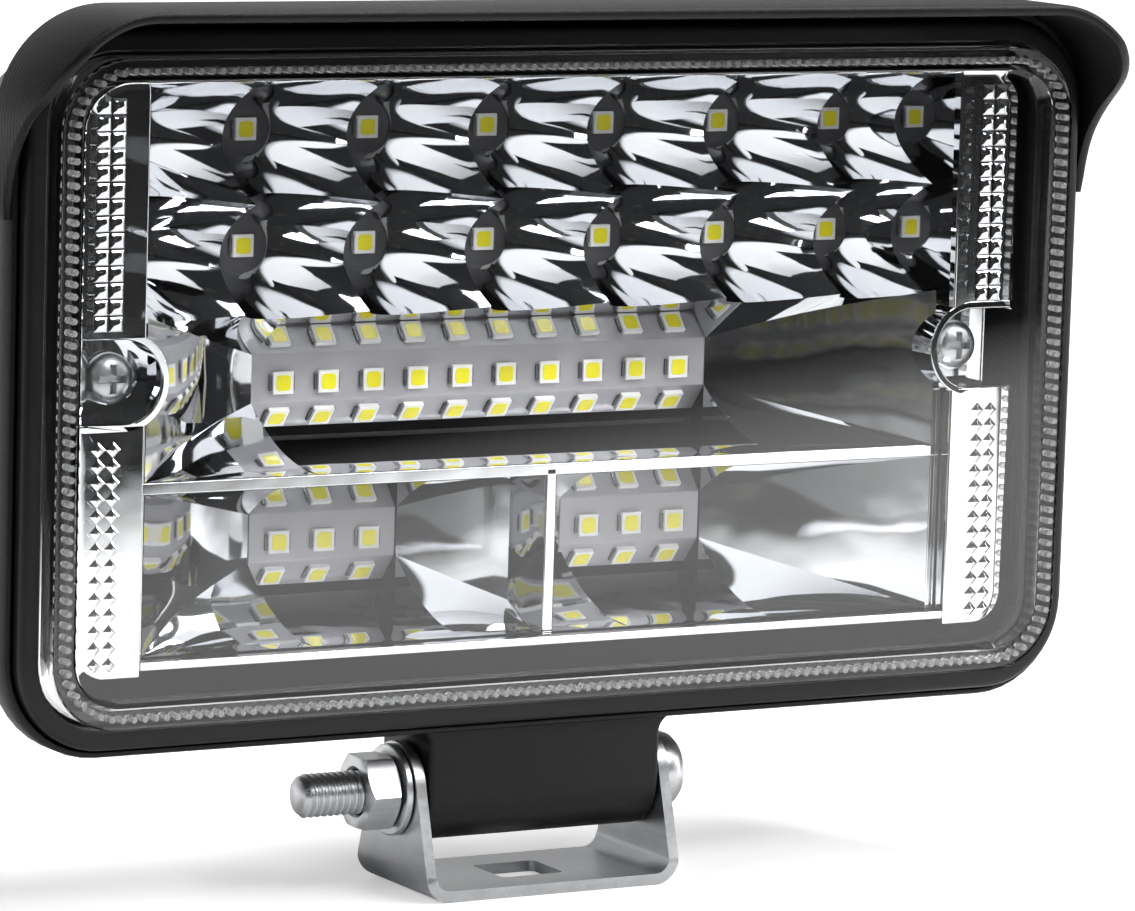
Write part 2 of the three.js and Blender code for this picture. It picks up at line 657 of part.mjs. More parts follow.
const legFace = BRACKET.inside / 2 + BRACKET.plate;

function pivotBolt() {
  const seat = legFace + 0.2;
  const end = seat + BOLT.headLength;
  const shank = axle(0, BOLT_HEIGHT, BOLT.radius, BOLT.tipX + 0.5, seat + 0.1);
  const tip = axle(0, BOLT_HEIGHT, BOLT.radius - 0.5, BOLT.tipX, BOLT.tipX + 0.6);
  const head = axle(0, BOLT_HEIGHT, BOLT.headRadius, seat, end - 0.6)
    .add(axle(0, BOLT_HEIGHT, BOLT.headRadius - 0.6, end - 0.7, end));
  const socket = axle(0, BOLT_HEIGHT, SOCKET.radius, end - SOCKET.depth, end + 1, 6);
  return join([shank, tip, head]).subtract(socket);
}

function boltWasher() {
  const x1 = -legFace - 0.2;
  const x0 = x1 - WASHER.thickness;
  return axle(0, BOLT_HEIGHT, WASHER.radius, x0, x1).subtract(
    axle(0, BOLT_HEIGHT, BOLT.clearRadius, x0 - 1, x1 + 1));
}

function boltNut() {
  const x1 = -legFace - 0.4 - WASHER.thickness;
  const x0 = x1 - NUT.length;
  return axle(0, BOLT_HEIGHT, NUT.acrossCorners / 2, x0, x1, 6).subtract(
    axle(0, BOLT_HEIGHT, BOLT.clearRadius, x0 - 1, x1 + 1));
}

// ---------------------------------------------------------------- assembly

const lamp = new THREE.Group();
lamp.position.set(0, -BOLT_SETBACK, LENS_HEIGHT);
lamp.add(
  piece('housing', housing(), blackCasting),
  piece('bezel', bezel(), blackPlastic),
  piece('lens', lens(), clearLens),
  piece('lens_gasket', gasket(), rubber),
  piece('reflector', reflector(), chrome),
  piece('reflector_screw_left', reflectorScrew(-1), zinc),
  piece('reflector_screw_right', reflectorScrew(1), zinc),
  piece('cup_led_board', cupBoard(), boardGrey),
  ...BARS.map((bar) => piece(`${bar.name}_led_bar`, lightBar(bar), boardGrey)),
  piece('driver_board', driverBoard(), circuitGreen),
  piece('lead_positive', lead(LEAD.spacing), redWire),
  piece('lead_negative', lead(-LEAD.spacing), rubber),
  piece('gland_body', glandBody(), blackPlastic),
  piece('gland_nut', glandNut(), blackPlastic),
  piece('gland_seal', glandSeal(), rubber),
  piece('vent_plug', ventPlug(), blackPlastic),
);

const stand = new THREE.Group();
stand.add(
  piece('bracket', bracket(), zinc),
  piece('pivot_bolt', pivotBolt(), zinc),
  piece('bolt_washer', boltWasher(), zinc),
  piece('bolt_nut', boltNut(), zinc),
);

const group = new THREE.Group();
group.add(lamp, stand);

export default group;
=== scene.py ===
import math

import bmesh
import bpy
from mathutils import Matrix, Vector


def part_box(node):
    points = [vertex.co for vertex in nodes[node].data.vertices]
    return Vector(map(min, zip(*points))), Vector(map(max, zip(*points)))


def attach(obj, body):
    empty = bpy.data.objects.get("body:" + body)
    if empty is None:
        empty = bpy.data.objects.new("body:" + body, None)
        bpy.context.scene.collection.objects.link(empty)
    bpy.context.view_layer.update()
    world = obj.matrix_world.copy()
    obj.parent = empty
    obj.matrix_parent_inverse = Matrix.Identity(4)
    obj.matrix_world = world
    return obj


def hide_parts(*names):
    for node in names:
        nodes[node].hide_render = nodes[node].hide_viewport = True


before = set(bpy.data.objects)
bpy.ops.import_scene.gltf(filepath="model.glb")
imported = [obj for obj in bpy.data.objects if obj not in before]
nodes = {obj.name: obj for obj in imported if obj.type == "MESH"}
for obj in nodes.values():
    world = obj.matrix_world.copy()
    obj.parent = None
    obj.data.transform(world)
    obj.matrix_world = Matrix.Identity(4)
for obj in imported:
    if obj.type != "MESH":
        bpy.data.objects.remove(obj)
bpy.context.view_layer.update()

# ------------------------------------------------------------------ housing shell
# One pressure-cast aluminium tub with a satin black powder coat. A round-cornered lip at the
# front takes the bezel, and the walls draw in towards the back plate that carries the fins.

lens_low, lens_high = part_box("lens")
LENS_FRONT = Vector(((lens_low.x + lens_high.x) / 2, lens_low.y, (lens_low.z + lens_high.z) / 2))
LAMP = Matrix.Translation(LENS_FRONT) @ Matrix.Scale(0.001, 4)  # mm from the middle of the lens


class Wire:
    """One output of a node. A sum written on it adds the nodes that work it out."""

    def __init__(self, tree, socket):
        self.tree = tree
        self.socket = socket

    def node(self, kind, settings=None, inputs=None, output=0):
        """Adds a node: its settings first, then the values or links of its sockets."""
        made = self.tree.nodes.new(kind)
        for name, value in (settings or {}).items():
            setattr(made, name, value)
        for name, value in (inputs or {}).items():
            for item in value if isinstance(value, list) else [value]:
                if isinstance(item, Wire):
                    self.tree.links.new(item.socket, made.inputs[name])
                else:
                    made.inputs[name].default_value = item
        return Wire(self.tree, made.outputs[output])

    def sum(self, operation, *terms):
        return self.node("ShaderNodeMath", {"operation": operation}, dict(enumerate(terms)))

    def by(self, operation, *terms):
        """This number put through one of the Math node's operations."""
        return self.sum(operation, self, *terms)

    def __add__(self, other):
        return self.sum("ADD", self, other)

    def __radd__(self, other):
        return self.sum("ADD", other, self)

    def __sub__(self, other):
        return self.sum("SUBTRACT", self, other)

    def __rsub__(self, other):
        return self.sum("SUBTRACT", other, self)

    def __mul__(self, other):
        return self.sum("MULTIPLY", self, other)

    def __rmul__(self, other):
        return self.sum("MULTIPLY", other, self)

    def __truediv__(self, other):
        return self.sum("DIVIDE", self, other)

    def __pow__(self, other):
        return self.sum("POWER", self, other)

    def __abs__(self):
        return self.sum("ABSOLUTE", self)

    def over(self, level):
        return self.by("GREATER_THAN", level)

    def least(self, other):
        return self.by("MINIMUM", other)

    def most(self, other):
        return self.by("MAXIMUM", other)

    def axes(self):
        """The three numbers of a vector."""
        split = self.node("ShaderNodeSeparateXYZ", {}, {0: self}).socket.node
        return [Wire(self.tree, socket) for socket in split.outputs]

    def noise(self, scale, detail=2.0):
        inputs = {"Vector": self, "Scale": scale, "Detail": detail}
        return self.node("ShaderNodeTexNoise", {}, inputs, "Fac")

    def stretched(self, x, y, z):
        return self.node("ShaderNodeVectorMath", {"operation": "MULTIPLY"}, {0: self, 1: (x, y, z)})

    def blend(self, low, high):
        """A colour between two, by this wire's number."""
        inputs = {0: self, 6: (*low, 1.0), 7: (*high, 1.0)}
        return self.node("ShaderNodeMix", {"data_type": "RGBA"}, inputs, 2)

    def bump(self, depth, strength=1.0):
        """A normal for a height of up to that depth, in millimetres."""
        inputs = {"Height": self, "Distance": depth / 1000, "Strength": strength}
        return self.node("ShaderNodeBump", {}, inputs)


def finish(name, look, constants):
    """A material on one Principled shader. look gives what varies over the surface."""
    material = bpy.data.materials.new(name)
    material.use_nodes = True
    tree = material.node_tree
    shader = tree.nodes["Principled BSDF"]
    place = Wire(tree, tree.nodes.new("ShaderNodeTexCoord").outputs["Object"])
    for socket, value in constants.items():
        shader.inputs[socket].default_value = value
    for socket, wire in look(place).items():
        tree.links.new(wire.socket, shader.inputs[socket])
    return material


def part(name, points, faces, material, place, crease=35, closed=True):
    """An object with its place in its mesh, smooth except across edges sharper than crease.

    A closed piece has its faces turned outwards.
    """
    mesh = bpy.data.meshes.new(name)
    mesh.from_pydata([tuple(p) for p in points], [], faces)
    shell = bmesh.new()
    shell.from_mesh(mesh)
    bmesh.ops.remove_doubles(shell, verts=shell.verts, dist=0.002)
    if closed:
        bmesh.ops.recalc_face_normals(shell, faces=shell.faces)
    shell.to_mesh(mesh)
    shell.free()
    mesh.materials.append(material)
    thing = bpy.data.objects.new(name, mesh)
    bpy.context.scene.collection.objects.link(thing)
    return placed(thing, place, crease)


def placed(thing, place, crease):
    mesh = thing.data
    mesh.transform(place)
    mesh.polygons.foreach_set("use_smooth", [True] * len(mesh.polygons))
    mesh.set_sharp_from_angle(angle=math.radians(crease))
    mesh.update()
    return thing


def settled(thing):
    """Turns a piece's modifiers into plain mesh."""
    graph = bpy.context.evaluated_depsgraph_get()
    mesh = bpy.data.meshes.new_from_object(thing.evaluated_get(graph))
    thing.modifiers.clear()
    thing.data = mesh
    return thing


def eased(thing, width, sides=2, limit=30):
    """Rounds a piece's sharp edges by width, in millimetres."""
    bevel = thing.modifiers.new("eased", "BEVEL")
    bevel.width = width / 1000
    bevel.segments = sides
    bevel.limit_method = "ANGLE"
    bevel.angle_limit = math.radians(limit)
    bevel.harden_normals = True
    return settled(thing)


def round_loop(half_width, bottom, top, corner, y, steps=10):
    """A rectangle with round corners in x and z, at depth y."""
    right, low, high = half_width - corner, bottom + corner, top - corner
    middles = [(right, low, -90), (right, high, 0), (-right, high, 90), (-right, low, 180)]
    points = []
    for x, z, start in middles:
        for k in range(steps + 1):
            turn = math.radians(start + 90 * k / steps)
            points.append((x + corner * math.cos(turn), y, z + corner * math.sin(turn)))
    return points


def skin(loops, closed=False, caps=True):
    """Points and faces over a run of loops that have as many points each."""
    count = len(loops[0])
    points = [p for loop in loops for p in loop]
    faces = []
    for i in range(len(loops) - (0 if closed else 1)):
        a, b = i * count, (i + 1) % len(loops) * count
        for k in range(count):
            n = (k + 1) % count
            faces.append((a + k, a + n, b + n, b + k))
    if caps and not closed:
        faces.append(tuple(range(count)))
        faces.append(tuple(range(len(points) - count, len(points))))
    return points, faces


def powder_coat(place):
    grain = place.noise(2600.0, 3.0)
    drift = place.noise(60.0, 2.0)
    return {
        "Base Color": drift.blend((0.0030, 0.0030, 0.0033), (0.0065, 0.0065, 0.0072)),
        "Roughness": 0.30 + grain * 0.14 + drift * 0.06,
        "Normal": (grain + place.noise(900.0) * 0.8).bump(0.035),
    }


casting = finish("black_powder_coat", powder_coat, {"Specular IOR Level": 0.26})

SHELL = [  # half width, bottom, top, corner radius and depth, from the inside round to the back
    (67.8, -34.4, 39.4, 6.0, 34.0),
    (68.7, -35.3, 40.3, 6.7, 33.6),
    (69.1, -35.7, 40.7, 7.0, 32.6),
    (71.0, -37.8, 41.4, 7.2, 24.0),
    (71.6, -38.4, 41.7, 7.4, 23.4),
    (73.2, -40.2, 42.5, 7.7, 16.0),
    (73.7, -40.8, 42.8, 7.9, 15.4),
    (74.6, -41.8, 43.4, 8.0, 9.9),
    (74.9, -42.1, 43.7, 8.2, 9.5),
    (80.0, -46.3, 46.6, 12.0, 9.5),
    (80.3, -46.6, 46.9, 12.3, 9.2),
    (80.3, -46.6, 46.9, 12.3, 5.3),
    (80.45, -46.75, 47.2, 12.5, 5.05),
    (80.7, -47.0, 48.0, 12.8, 5.0),
    (81.1, -47.3, 49.0, 13.2, 5.12),
    (81.3, -47.5, 49.2, 13.3, 5.5),
    (81.3, -47.5, 49.2, 13.3, 9.4),
    (81.15, -47.35, 49.05, 13.2, 9.8),
    (80.6, -46.8, 48.4, 13.1, 9.95),
    (80.2, -46.4, 48.0, 13.0, 10.3),
    (72.4, -38.9, 41.9, 12.1, 35.8),
    (72.0, -38.5, 41.5, 11.9, 36.5),
    (71.2, -37.8, 40.8, 11.5, 37.0),
]
shell = part("housing_shell", *skin([round_loop(*row) for row in SHELL]), casting, LAMP)
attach(shell, "lamp")
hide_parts("housing")

# ------------------------------------------------------------------ hood
# The peak over the lens and its two cheeks are cast with the housing, a wall 1.5 mm thick.
# Each cheek sweeps back in an S from the peak's corner down to the lip.

HOOD_TOP, HOOD_SIDE, HOOD_CORNER, HOOD_WALL = 49.8, 82.5, 15.0, 1.5
HOOD_FRONT, HOOD_ROOT = -9.0, 8.0
CHEEK_FOOT, FOOT_DRAW = 22.6, (0.25, 0.1)  # the cheeks' lower ends, drawn in a little
SWEEPS = [[(-9, 45), (-6.5, 38.5), (-2.5, 38), (1, 33.8)], [(1, 33.8), (3.2, 31.2), (4.2, 29.5), (5.2, 24)]]


def cheek_line():
    """The cheek's front edge as (z, y), from the peak down."""
    line = [(HOOD_TOP, HOOD_FRONT)]
    for a, b, c, d in SWEEPS:
        for k in range(13):
            t = k / 12
            s = 1 - t
            mix = (s * s * s, 3 * s * s * t, 3 * s * t * t, t * t * t)
            y, z = (sum(w * p[i] for w, p in zip(mix, (a, b, c, d))) for i in (0, 1))
            line.append((z, y))
    line.append((22.0, 5.3))
    return line


CHEEK = cheek_line()


def cheek_depth(z):
    for (z0, y0), (z1, y1) in zip(CHEEK, CHEEK[1:]):
        if z >= z1:
            return y0 + (y1 - y0) * (z0 - z) / max(z0 - z1, 1e-6)
    return CHEEK[-1][1]


def hood_sections():
    """The hood's cross-section at stations from the left cheek over the top to the right one."""
    side = []
    for k in range(13):
        x = HOOD_SIDE - (FOOT_DRAW[k] if k < len(FOOT_DRAW) else 0.0)
        side.append((x, CHEEK_FOOT + (HOOD_TOP - HOOD_CORNER - CHEEK_FOOT) * k / 12, 1.0, 0.0))
    for k in range(1, 25):
        turn = math.radians(90 * k / 24)
        x = HOOD_SIDE - HOOD_CORNER + HOOD_CORNER * math.cos(turn)
        z = HOOD_TOP - HOOD_CORNER + HOOD_CORNER * math.sin(turn)
        side.append((x, z, math.cos(turn), math.sin(turn)))
    route = side + [(-x, z, -nx, nz) for x, z, nx, nz in reversed(side)]
    sections = []
    for x, z, nx, nz in route:
        front = cheek_depth(z)
        rim = [(0.0, HOOD_ROOT), (0.0, front + 0.5), (0.12, front + 0.18), (0.45, front)]
        rim += [(HOOD_WALL - 0.45, front), (HOOD_WALL - 0.12, front + 0.18)]
        rim += [(HOOD_WALL, front + 0.5), (HOOD_WALL + 0.2, HOOD_ROOT)]
        sections.append([(x - nx * inset, y, z - nz * inset) for inset, y in rim])
    return sections


def mould_lines(place):
    """The powder coat over the fine lines that the die leaves round the hood's corners."""
    look = powder_coat(place)
    x, y, z = place.axes()
    lines = (y * 7000.0).by("SINE") * 0.5 + 0.5
    corner = abs(x).over(HOOD_SIDE / 1000 - 0.016)
    look["Normal"] = (lines * corner * place.noise(300.0) * 0.7 + place.noise(2600.0, 3.0)).bump(0.05)
    return look


hood_coat = finish("black_powder_coat_lined", mould_lines, {"Specular IOR Level": 0.26})
hood = part("housing_hood", *skin(hood_sections()), hood_coat, LAMP)
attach(hood, "lamp")
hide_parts("housing")

# ------------------------------------------------------------------ pivot barrel
# The barrel that the tilt bolt passes through hangs under the lip on a thick web, part of the
# same casting. Small fillets spread the web where it runs into the lip.

BARREL_HALF, BARREL_RADIUS, BARREL_Y, BARREL_Z = 17.7, 7.0, 14.0, -56.5
WEB_TOP, FLARE, FLARE_DEPTH, LIP_INSIDE = -50.0, 3.0, 1.2, -45.0


def barrel_loop(half, depth, z):
    """The outline of the barrel, or of its web, at one height."""
    flat = round_loop(half, -depth, depth, min(0.7, depth * 0.6), 0, 4)
    return [(x, BARREL_Y + across, z) for x, _, across in flat]


levels = []
for k in range(17):
    turn = math.radians(90 * k / 16)
    drop = BARREL_RADIUS * math.cos(turn)
    half_depth = max(BARREL_RADIUS * math.sin(turn), 0.9)
    levels.append(barrel_loop(BARREL_HALF, half_depth, BARREL_Z - drop))
levels.append(barrel_loop(BARREL_HALF, BARREL_RADIUS, WEB_TOP))
for k in range(1, 9):
    turn = math.radians(90 * k / 8)
    grow = 1 - math.cos(turn)
    half, half_depth = BARREL_HALF + FLARE * grow, BARREL_RADIUS + FLARE_DEPTH * grow
    levels.append(barrel_loop(half, half_depth, WEB_TOP + FLARE * math.sin(turn)))
levels.append(barrel_loop(BARREL_HALF + FLARE, BARREL_RADIUS + FLARE_DEPTH, LIP_INSIDE))
barrel = part("housing_barrel", *skin(levels), casting, LAMP)
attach(barrel, "lamp")
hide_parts("housing")

# ------------------------------------------------------------------ cooling fins
# Seventeen upright fins stand on the back plate in one casting with it. They stop short of the
# cable gland and of the vent's round pad.

FIN_COUNT, FIN_PITCH, FIN_THICK = 17, 8.6, 2.0
FIN_BOTTOM, FIN_TOP, FIN_BACK, FIN_ROOT, FIN_CORNER = -33.0, 36.0, 55.0, 36.5, 5.0
GLAND_Z = -22.0
VENT_SPOT = (43.0, -23.0)


def geometry_tree(name, sizes):
    """A new geometry tree with named inputs for its sizes, and those inputs as wires."""
    tree = bpy.data.node_groups.new(name, "GeometryNodeTree")
    tree.interface.new_socket("Geometry", in_out="OUTPUT", socket_type="NodeSocketGeometry")
    for label, value in sizes.items():
        kind = "NodeSocketInt" if isinstance(value, int) else "NodeSocketFloat"
        tree.interface.new_socket(label, in_out="INPUT", socket_type=kind)
    entry = tree.nodes.new("NodeGroupInput")
    return tree, {label: Wire(tree, entry.outputs[label]) for label in sizes}


def combined(x, y, z):
    """A vector of three numbers, at least one of them a wire."""
    wire = next(w for w in (x, y, z) if isinstance(w, Wire))
    return wire.node("ShaderNodeCombineXYZ", {}, {0: x, 1: y, 2: z})


def coated(shape, material):
    return shape.node("GeometryNodeSetMaterial", {}, {"Geometry": shape, "Material": material})


def in_a_row(thing, count, pitch, start, turn=(0.0, 0.0, 0.0)):
    """Copies of a shape along x, from a start and at an even pitch."""
    spots = {"Count": count, "Start Location": start, "Offset": combined(pitch, 0.0, 0.0)}
    row = start.node("GeometryNodeMeshLine", {}, spots)
    copies = {"Points": row, "Instance": thing, "Rotation": turn}
    return row.node("GeometryNodeInstanceOnPoints", {}, copies)


def close_tree(result):
    """Ends a geometry tree: instances become real faces."""
    real = result.node("GeometryNodeRealizeInstances", {}, {0: result})
    end = result.tree.nodes.new("NodeGroupOutput")
    result.tree.links.new(real.socket, end.inputs[0])


def grown(name, tree, sizes, place, crease=35):
    """Runs a geometry tree with these sizes and keeps what it makes as a plain mesh."""
    thing = bpy.data.objects.new(name, bpy.data.meshes.new(name))
    bpy.context.scene.collection.objects.link(thing)
    modifier = thing.modifiers.new(name, "NODES")
    modifier.node_group = tree
    for item in tree.interface.items_tree:
        if item.in_out == "INPUT":
            modifier[item.identifier] = sizes[item.name]
    return placed(settled(thing), place, crease)


def rounded_outline(width, height, corner, steps):
    """A rectangle of curve with round corners."""
    sides = {"Width": width, "Height": height}
    outline = width.node("GeometryNodeCurvePrimitiveQuadrilateral", {}, sides)
    corners = {"Curve": outline, "Radius": corner, "Count": steps}
    return outline.node("GeometryNodeFilletCurve", {"mode": "POLY"}, corners)


def fin_tree(sizes):
    """Upright plates in a row along x, each a round-cornered rectangle in y and z."""
    tree, size = geometry_tree("cooling_fins", sizes)
    count, pitch, thick = size["Count"], size["Pitch"], size["Thickness"]
    deep, tall = size["Back"] - size["Root"], size["Top"] - size["Bottom"]
    rounded = rounded_outline(tall, deep * 2, size["Corner"], 8)
    face = rounded.node("GeometryNodeFillCurve", {"mode": "NGONS"}, {"Curve": rounded})
    raised = {"Mesh": face, "Offset": (0.0, 0.0, 1.0), "Offset Scale": thick}
    plate = face.node("GeometryNodeExtrudeMesh", {"mode": "FACES"}, raised)
    base = face.node("GeometryNodeFlipFaces", {}, {"Mesh": face})
    closed = plate.node("GeometryNodeJoinGeometry", {}, {0: [plate, base]})
    welded = closed.node("GeometryNodeMergeByDistance", {}, {"Geometry": closed, "Distance": 0.01})
    here = welded.node("GeometryNodeInputPosition").axes()
    middle = (size["Top"] + size["Bottom"]) / 2
    upright = combined(here[2] - thick / 2, here[1] + size["Root"], here[0] + middle)
    fin = welded.node("GeometryNodeSetPosition", {}, {"Geometry": welded, "Position": upright})
    start = combined((count - 1) * pitch / -2, 0.0, 0.0)
    close_tree(coated(in_a_row(fin, count, pitch, start), casting))
    return tree


fin_sizes = {
    "Count": FIN_COUNT, "Pitch": FIN_PITCH, "Thickness": FIN_THICK, "Bottom": FIN_BOTTOM,
    "Top": FIN_TOP, "Back": FIN_BACK, "Root": FIN_ROOT, "Corner": FIN_CORNER,
}
fins = grown("housing_fins", fin_tree(fin_sizes), fin_sizes, LAMP)


def drilled(thing, cutters):
    """Cuts closed tools out of a piece."""
    for cutter in cutters:
        cut = thing.modifiers.new("drilled", "BOOLEAN")
        cut.operation, cut.solver, cut.object = "DIFFERENCE", "EXACT", cutter
        settled(thing)
        bpy.data.objects.remove(cutter)
    thing.data.set_sharp_from_angle(angle=math.radians(35))
    return thing


def turned(profile, x, z, sides=48):
    """Points and faces of a closed body turned about a line along y, from (radius, depth) pairs."""
    loops = []
    for radius, y in profile:
        turns = [2 * math.pi * k / sides for k in range(sides)]
        loops.append([(x + radius * math.cos(t), y, z + radius * math.sin(t)) for t in turns])
    return skin(loops)


FIN_ROOM = [  # radius, depths and middle of what is cut out of the fins
    (12.0, 43.0, 60.0, 0.0, GLAND_Z),
    (8.5, 43.0, 60.0, *VENT_SPOT),
    (90.0, 0.0, 36.6, 0.0, 0.0),
]
drilled(fins, [
    part("room", *turned([(radius, y0), (radius, y1)], x, z), casting, LAMP)
    for radius, y0, y1, x, z in FIN_ROOM
])
eased(fins, 0.35)
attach(fins, "lamp")
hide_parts("housing")

# ------------------------------------------------------------------ back spine and vent pad
# A raised block in the middle of the back gives depth for the driver's pocket and for the
# gland's thread, and a round pad beside it takes the vent. Both are cast with the plate.

SPINE = [  # half width, bottom, top, corner radius and depth
    (22.6, -32.6, 37.6, 2.6, 36.6),
    (22.0, -32.0, 37.0, 2.0, 37.6),
    (22.0, -32.0, 37.0, 2.0, 42.5),
    (21.5, -31.5, 36.5, 1.6, 43.0),
]
spine = part("housing_spine", *skin([round_loop(*row) for row in SPINE]), casting, LAMP)
VENT_PAD = [(9.0, 36.6), (8.5, 37.4), (8.5, 42.6), (8.1, 43.0)]
vent_pad = part("housing_vent_pad", *turned(VENT_PAD, *VENT_SPOT), casting, LAMP)
for piece in (spine, vent_pad):
    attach(piece, "lamp")
    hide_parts("housing")

# ------------------------------------------------------------------ vent plug
# A moulded plastic cap pressed into the pad. A membrane under it lets the lamp breathe.


def moulded_black(place):
    grain = place.noise(3200.0, 2.0)
    drift = place.noise(90.0)
    return {
        "Base Color": drift.blend((0.0035, 0.0035, 0.0040), (0.0075, 0.0075, 0.0082)),
        "Roughness": 0.30 + grain * 0.12 + drift * 0.08,
        "Normal": grain.bump(0.012),
    }


black_plastic = finish("black_moulded_plastic", moulded_black, {"Specular IOR Level": 0.32})
VENT_CAP = [
    (3.1, 36.4), (3.1, 43.3), (5.7, 43.3), (6.0, 43.6), (6.0, 45.0), (5.5, 45.7), (3.4, 45.9),
    (3.2, 45.5), (1.0, 45.4),
]
vent = part("vent_plug_cap", *turned(VENT_CAP, *VENT_SPOT), black_plastic, LAMP)
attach(vent, "lamp")
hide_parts("vent_plug")

# ------------------------------------------------------------------ cable gland
# A hexagon body screwed into the back plate, with a fluted clamping nut necked in over a
# rubber seal. Both are moulded nylon.

GLAND_HEX, GLAND_FLUTES = 8.0, 18


def gland_hexagon(y, chamfer):
    """The body's six sides at one depth, with the corners turned down by a chamfer."""
    loop = []
    for k in range(72):
        turn = math.radians(5 * k)
        slant = math.cos((turn % math.radians(60)) - math.radians(30))
        reach = min(GLAND_HEX * math.cos(math.radians(30)) / slant, GLAND_HEX - chamfer)
        loop.append((reach * math.cos(turn), y, GLAND_Z + reach * math.sin(turn)))
    return loop


def gland_circle(radius, y, groove=0.0):
    """A round outline at one depth, with the nut's grooves cut that deep into it."""
    loop = []
    for k in range(72):
        turn = 2 * math.pi * k / 72
        reach = radius - groove * (0.5 + 0.5 * math.cos(GLAND_FLUTES * turn))
        loop.append((reach * math.cos(turn), y, GLAND_Z + reach * math.sin(turn)))
    return loop


gland_loops = [gland_circle(4.1, y) for y in (41.2, 43.3)]
gland_loops += [gland_hexagon(y, cut) for y, cut in ((43.3, 0.6), (43.6, 0.1), (47.0, 0.1), (47.3, 0.6))]
gland_loops += [gland_circle(r, y) for r, y in ((5.6, 47.3), (5.6, 52.3), (3.0, 52.3), (3.0, 41.2))]
gland = part("gland_body_hexagon", *skin(gland_loops, closed=True), black_plastic, LAMP)
GLAND_NUT = [  # radius, depth and groove
    (5.9, 47.6, 0), (7.1, 47.6, 0), (7.5, 48.0, 0.35), (7.5, 53.6, 0.35), (7.2, 54.4, 0.2), (6.3, 56.6, 0),
    (5.0, 57.6, 0), (3.9, 58.0, 0), (3.4, 57.6, 0), (3.4, 56.2, 0), (5.9, 55.8, 0),
]
gland_nut_loops = [gland_circle(*row) for row in GLAND_NUT]
gland_nut = part("gland_nut_fluted", *skin(gland_nut_loops, closed=True), black_plastic, LAMP)
for piece, node in ((gland, "gland_body"), (gland_nut, "gland_nut")):
    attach(piece, "lamp")
    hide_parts(node)


def soft_black(place):
    grain = place.noise(1800.0)
    return {
        "Base Color": grain.blend((0.008, 0.008, 0.008), (0.02, 0.02, 0.02)),
        "Roughness": 0.7 + grain * 0.2,
    }


rubber = finish("black_rubber", soft_black, {"Specular IOR Level": 0.35})
for name in ("gland_seal", "lens_gasket"):
    nodes[name].material_slots[0].material = rubber

# ------------------------------------------------------------------ driver board and leads
# A green glass-fibre board in a pocket behind the light boards, with a choke, a chip, a bridge
# and a capacitor, and a red and a black lead down to the gland.


def green_mask(place):
    x, y, z = place.axes()
    rows = (z * 2200.0).by("SINE")
    tracks = rows.over(0.55) * place.noise(240.0).over(0.5)
    return {
        "Base Color": tracks.blend((0.010, 0.085, 0.040), (0.030, 0.170, 0.080)),
        "Roughness": 0.32 + place.noise(500.0) * 0.15,
    }


green_board = finish("green_solder_mask", green_mask, {"Coat Weight": 0.3})
nodes["driver_board"].material_slots[0].material = green_board


def wire_skin(low, high):
    def look(place):
        scuff = place.noise(700.0)
        return {"Base Color": scuff.blend(low, high), "Roughness": 0.4 + scuff * 0.2}

    return look


red_wire = finish("red_wire_insulation", wire_skin((0.36, 0.010, 0.010), (0.50, 0.025, 0.020)), {})
black_wire = finish("black_wire_insulation", wire_skin((0.008, 0.008, 0.008), (0.02, 0.02, 0.02)), {})
nodes["lead_positive"].material_slots[0].material = red_wire
nodes["lead_negative"].material_slots[0].material = black_wire

# ------------------------------------------------------------------ light boards
# Aluminium-core boards with a pale grey mask: one flat board behind the cups, and three bars
# folded along their length into three faces, bonded to ridges in the housing.

BAR_FACE, BAR_HALF_FACE, BAR_SIDE, BAR_TILT, BOARD_THICK = 28.9, 3.3, 5.0, 41.0, 1.2
BAR_RISE = 0.6  # the middle row of lights sits below its face's middle
BARS = [("wide", 0.0, -2.8, 10, 35.5), ("left", -24.0, -24.4, 3, 11.1), ("right", 24.0, -24.4, 3, 11.1)]
CUP_X = [18.3 * (i - 3) for i in range(7)]
CUP_Z = [31.3, 15.7]
CUP_BOARD_FRONT = 30.1


def pale_mask(place):
    grain = place.noise(1500.0, 3.0)
    cloud = place.noise(130.0)
    return {
        "Base Color": cloud.blend((0.36, 0.355, 0.375), (0.45, 0.445, 0.465)),
        "Roughness": 0.34 + grain * 0.22,
        "Normal": grain.bump(0.01),
    }


board_mask = finish("pale_grey_solder_mask", pale_mask, {"Metallic": 0.25, "Coat Weight": 0.2})


def folded_bar(z, half_length, x):
    """A bar's outline in y and z, drawn out along x."""
    tilt = math.radians(BAR_TILT)
    outline = []
    for inset in (0.0, BOARD_THICK):
        edge = BAR_HALF_FACE - inset * math.tan(tilt / 2)
        run, rise = BAR_SIDE * math.sin(tilt), BAR_SIDE * math.cos(tilt)
        face = BAR_FACE + inset
        line = [(face + run, -edge - rise), (face, -edge), (face, edge), (face + run, edge + rise)]
        outline += line if inset == 0 else line[::-1]
    return [[(x + side * half_length, y, z + up) for y, up in outline] for side in (-1, 1)]


for name, x, z, count, half_length in BARS:
    bar = part(f"{name}_light_bar", *skin(folded_bar(z + BAR_RISE, half_length, x)), board_mask, LAMP, 20)
    eased(bar, 0.12, 2, 15)
    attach(bar, "lamp")
    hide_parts(f"{name}_led_bar")


# The board behind the cups gets a darker grey than the bars: painted shade, standing in for the shadow deep
# behind the cups round each light.
def painted_shade_mask(place):
    look = pale_mask(place)
    look["Base Color"] = place.noise(130.0).blend((0.07, 0.07, 0.075), (0.12, 0.12, 0.128))
    return look


